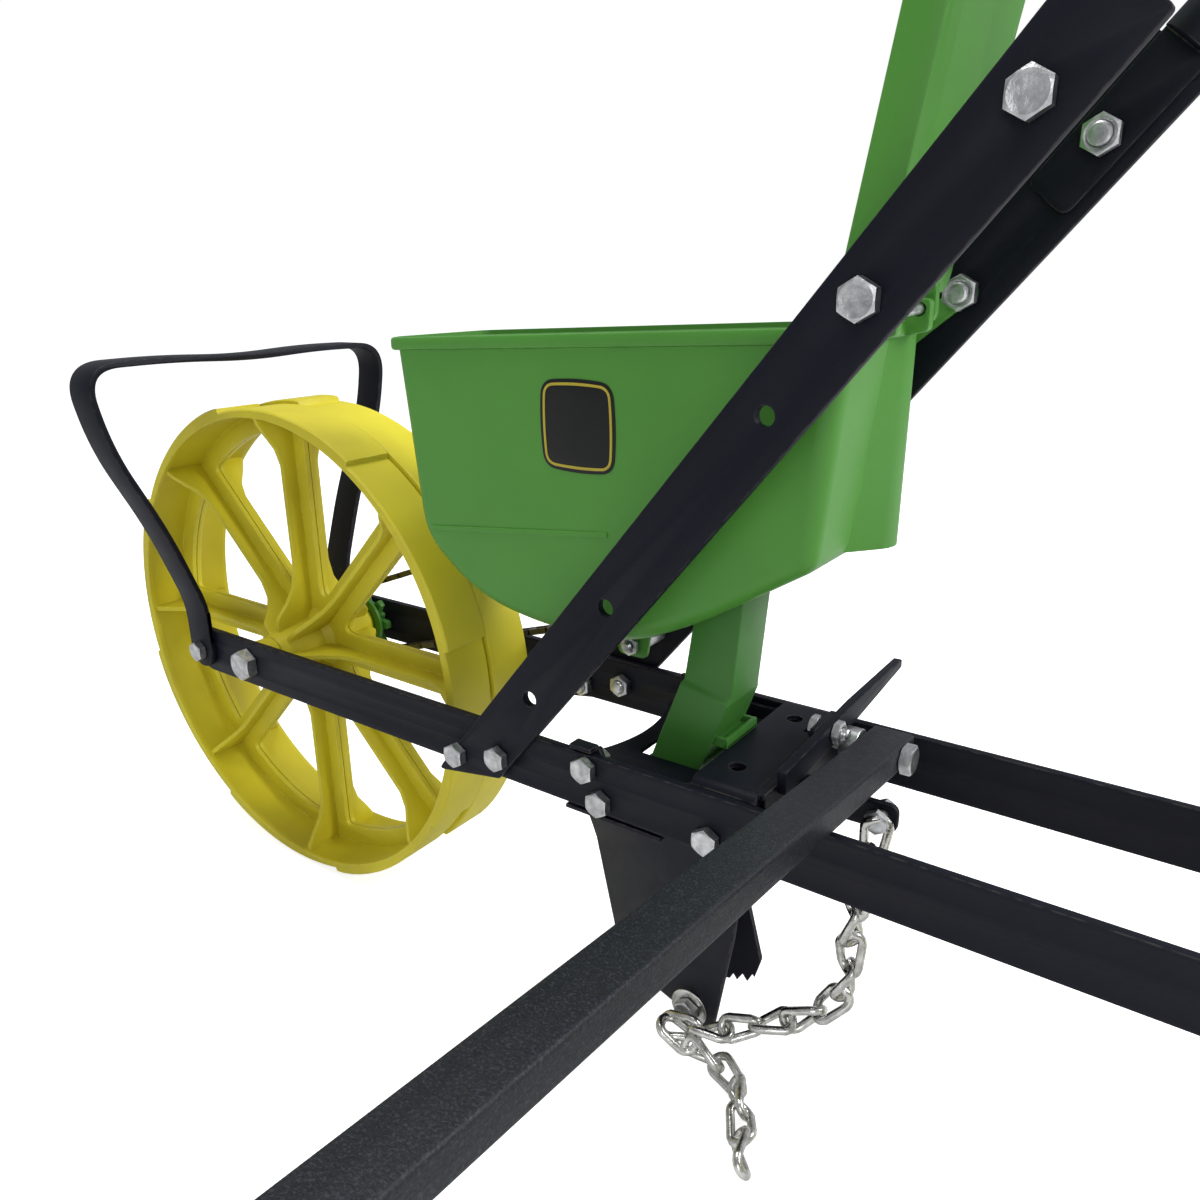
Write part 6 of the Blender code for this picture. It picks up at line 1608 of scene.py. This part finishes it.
def makeStudio():
    bm = bmesh.new()
    bmesh.ops.create_grid(bm, x_segments=1, y_segments=1, size=15.0)
    bmesh.ops.translate(bm, vec=(0, 0, -0.0005), verts=bm.verts)
    floor = workObject(meshFrom(bm), "studioFloor")
    paper = bpy.data.materials.new("studioPaper")
    paper.use_nodes = True
    tree = paper.node_tree
    shader = tree.nodes["Principled BSDF"]
    shader.inputs["Base Color"].default_value = (*studio["floor"], 1.0)
    shader.inputs["Roughness"].default_value = 0.9
    shader.inputs["Specular IOR Level"].default_value = 0.1
    glow = addNode(tree, "ShaderNodeEmission")
    seen = addNode(tree, "ShaderNodeLightPath").outputs["Is Camera Ray"]
    strength = addNode(tree, "ShaderNodeMath", operation="MULTIPLY")
    tree.links.new(seen, strength.inputs[0])
    strength.inputs[1].default_value = studio["floorGlow"]
    tree.links.new(strength.outputs[0], glow.inputs["Strength"])
    added = addNode(tree, "ShaderNodeAddShader")
    tree.links.new(shader.outputs[0], added.inputs[0])
    tree.links.new(glow.outputs[0], added.inputs[1])
    tree.links.new(added.outputs[0], tree.nodes["Material Output"].inputs["Surface"])
    floor.data.materials.append(paper)

    world = bpy.data.worlds.new("studioWorld")
    bpy.context.scene.world = world
    world.use_nodes = True
    tree = world.node_tree
    tree.nodes.clear()
    paths = addNode(tree, "ShaderNodeLightPath")
    direct = addNode(tree, "ShaderNodeMath", operation="MAXIMUM")
    tree.links.new(paths.outputs["Is Camera Ray"], direct.inputs[0])
    tree.links.new(paths.outputs["Is Transmission Ray"], direct.inputs[1])
    clear = addNode(tree, "ShaderNodeBackground")
    clear.inputs["Strength"].default_value = 1.0
    clear.inputs["Color"].default_value = (1, 1, 1, 1)
    soft = addNode(tree, "ShaderNodeBackground")
    soft.inputs["Strength"].default_value = studio["sky"]
    soft.inputs["Color"].default_value = (0.95, 0.97, 1.0, 1)
    mix = addNode(tree, "ShaderNodeMixShader")
    tree.links.new(direct.outputs[0], mix.inputs[0])
    tree.links.new(soft.outputs[0], mix.inputs[1])
    tree.links.new(clear.outputs[0], mix.inputs[2])
    tree.links.new(mix.outputs[0], addNode(tree, "ShaderNodeOutputWorld").inputs["Surface"])

    for lamp in studio["lamps"]:
        light = bpy.data.lights.new(lamp["name"], "AREA")
        light.shape = "DISK"
        light.size = lamp["size"]
        light.energy = lamp["power"]
        made = workObject(light, lamp["name"])
        made.location = lamp["at"]
        aim = Vector(lamp["aim"]) - Vector(lamp["at"])
        made.rotation_mode = "QUATERNION"
        made.rotation_quaternion = aim.to_track_quat("-Z", "Y")


view = {"at": (-560.3, 413.05, 249.85), "yaw": 36.12, "pitch": 18.62, "roll": -0.815, "lens": 28.596}


def makeCamera():
    yaw, pitch, roll = (math.radians(view[k]) for k in ("yaw", "pitch", "roll"))
    ahead = Vector((math.sin(yaw) * math.cos(pitch), -math.cos(yaw) * math.cos(pitch), -math.sin(pitch)))
    right = ahead.cross(Vector((0, 0, 1))).normalized()
    up = right.cross(ahead)
    right, up = right * math.cos(roll) + up * math.sin(roll), up * math.cos(roll) - right * math.sin(roll)
    camera = bpy.data.cameras.new("viewCamera")
    camera.sensor_width = 36.0
    camera.lens = view["lens"]
    camera.clip_start, camera.clip_end = 0.01, 60.0
    made = workObject(camera, "viewCamera")
    turn = Matrix((right, up, -ahead)).transposed()
    made.matrix_world = Matrix.Translation(toWorld @ Vector(view["at"])) @ turn.to_4x4()
    bpy.context.scene.camera = made


makeStudio()
makeCamera()
bpy.context.scene.view_settings.view_transform = "Standard"
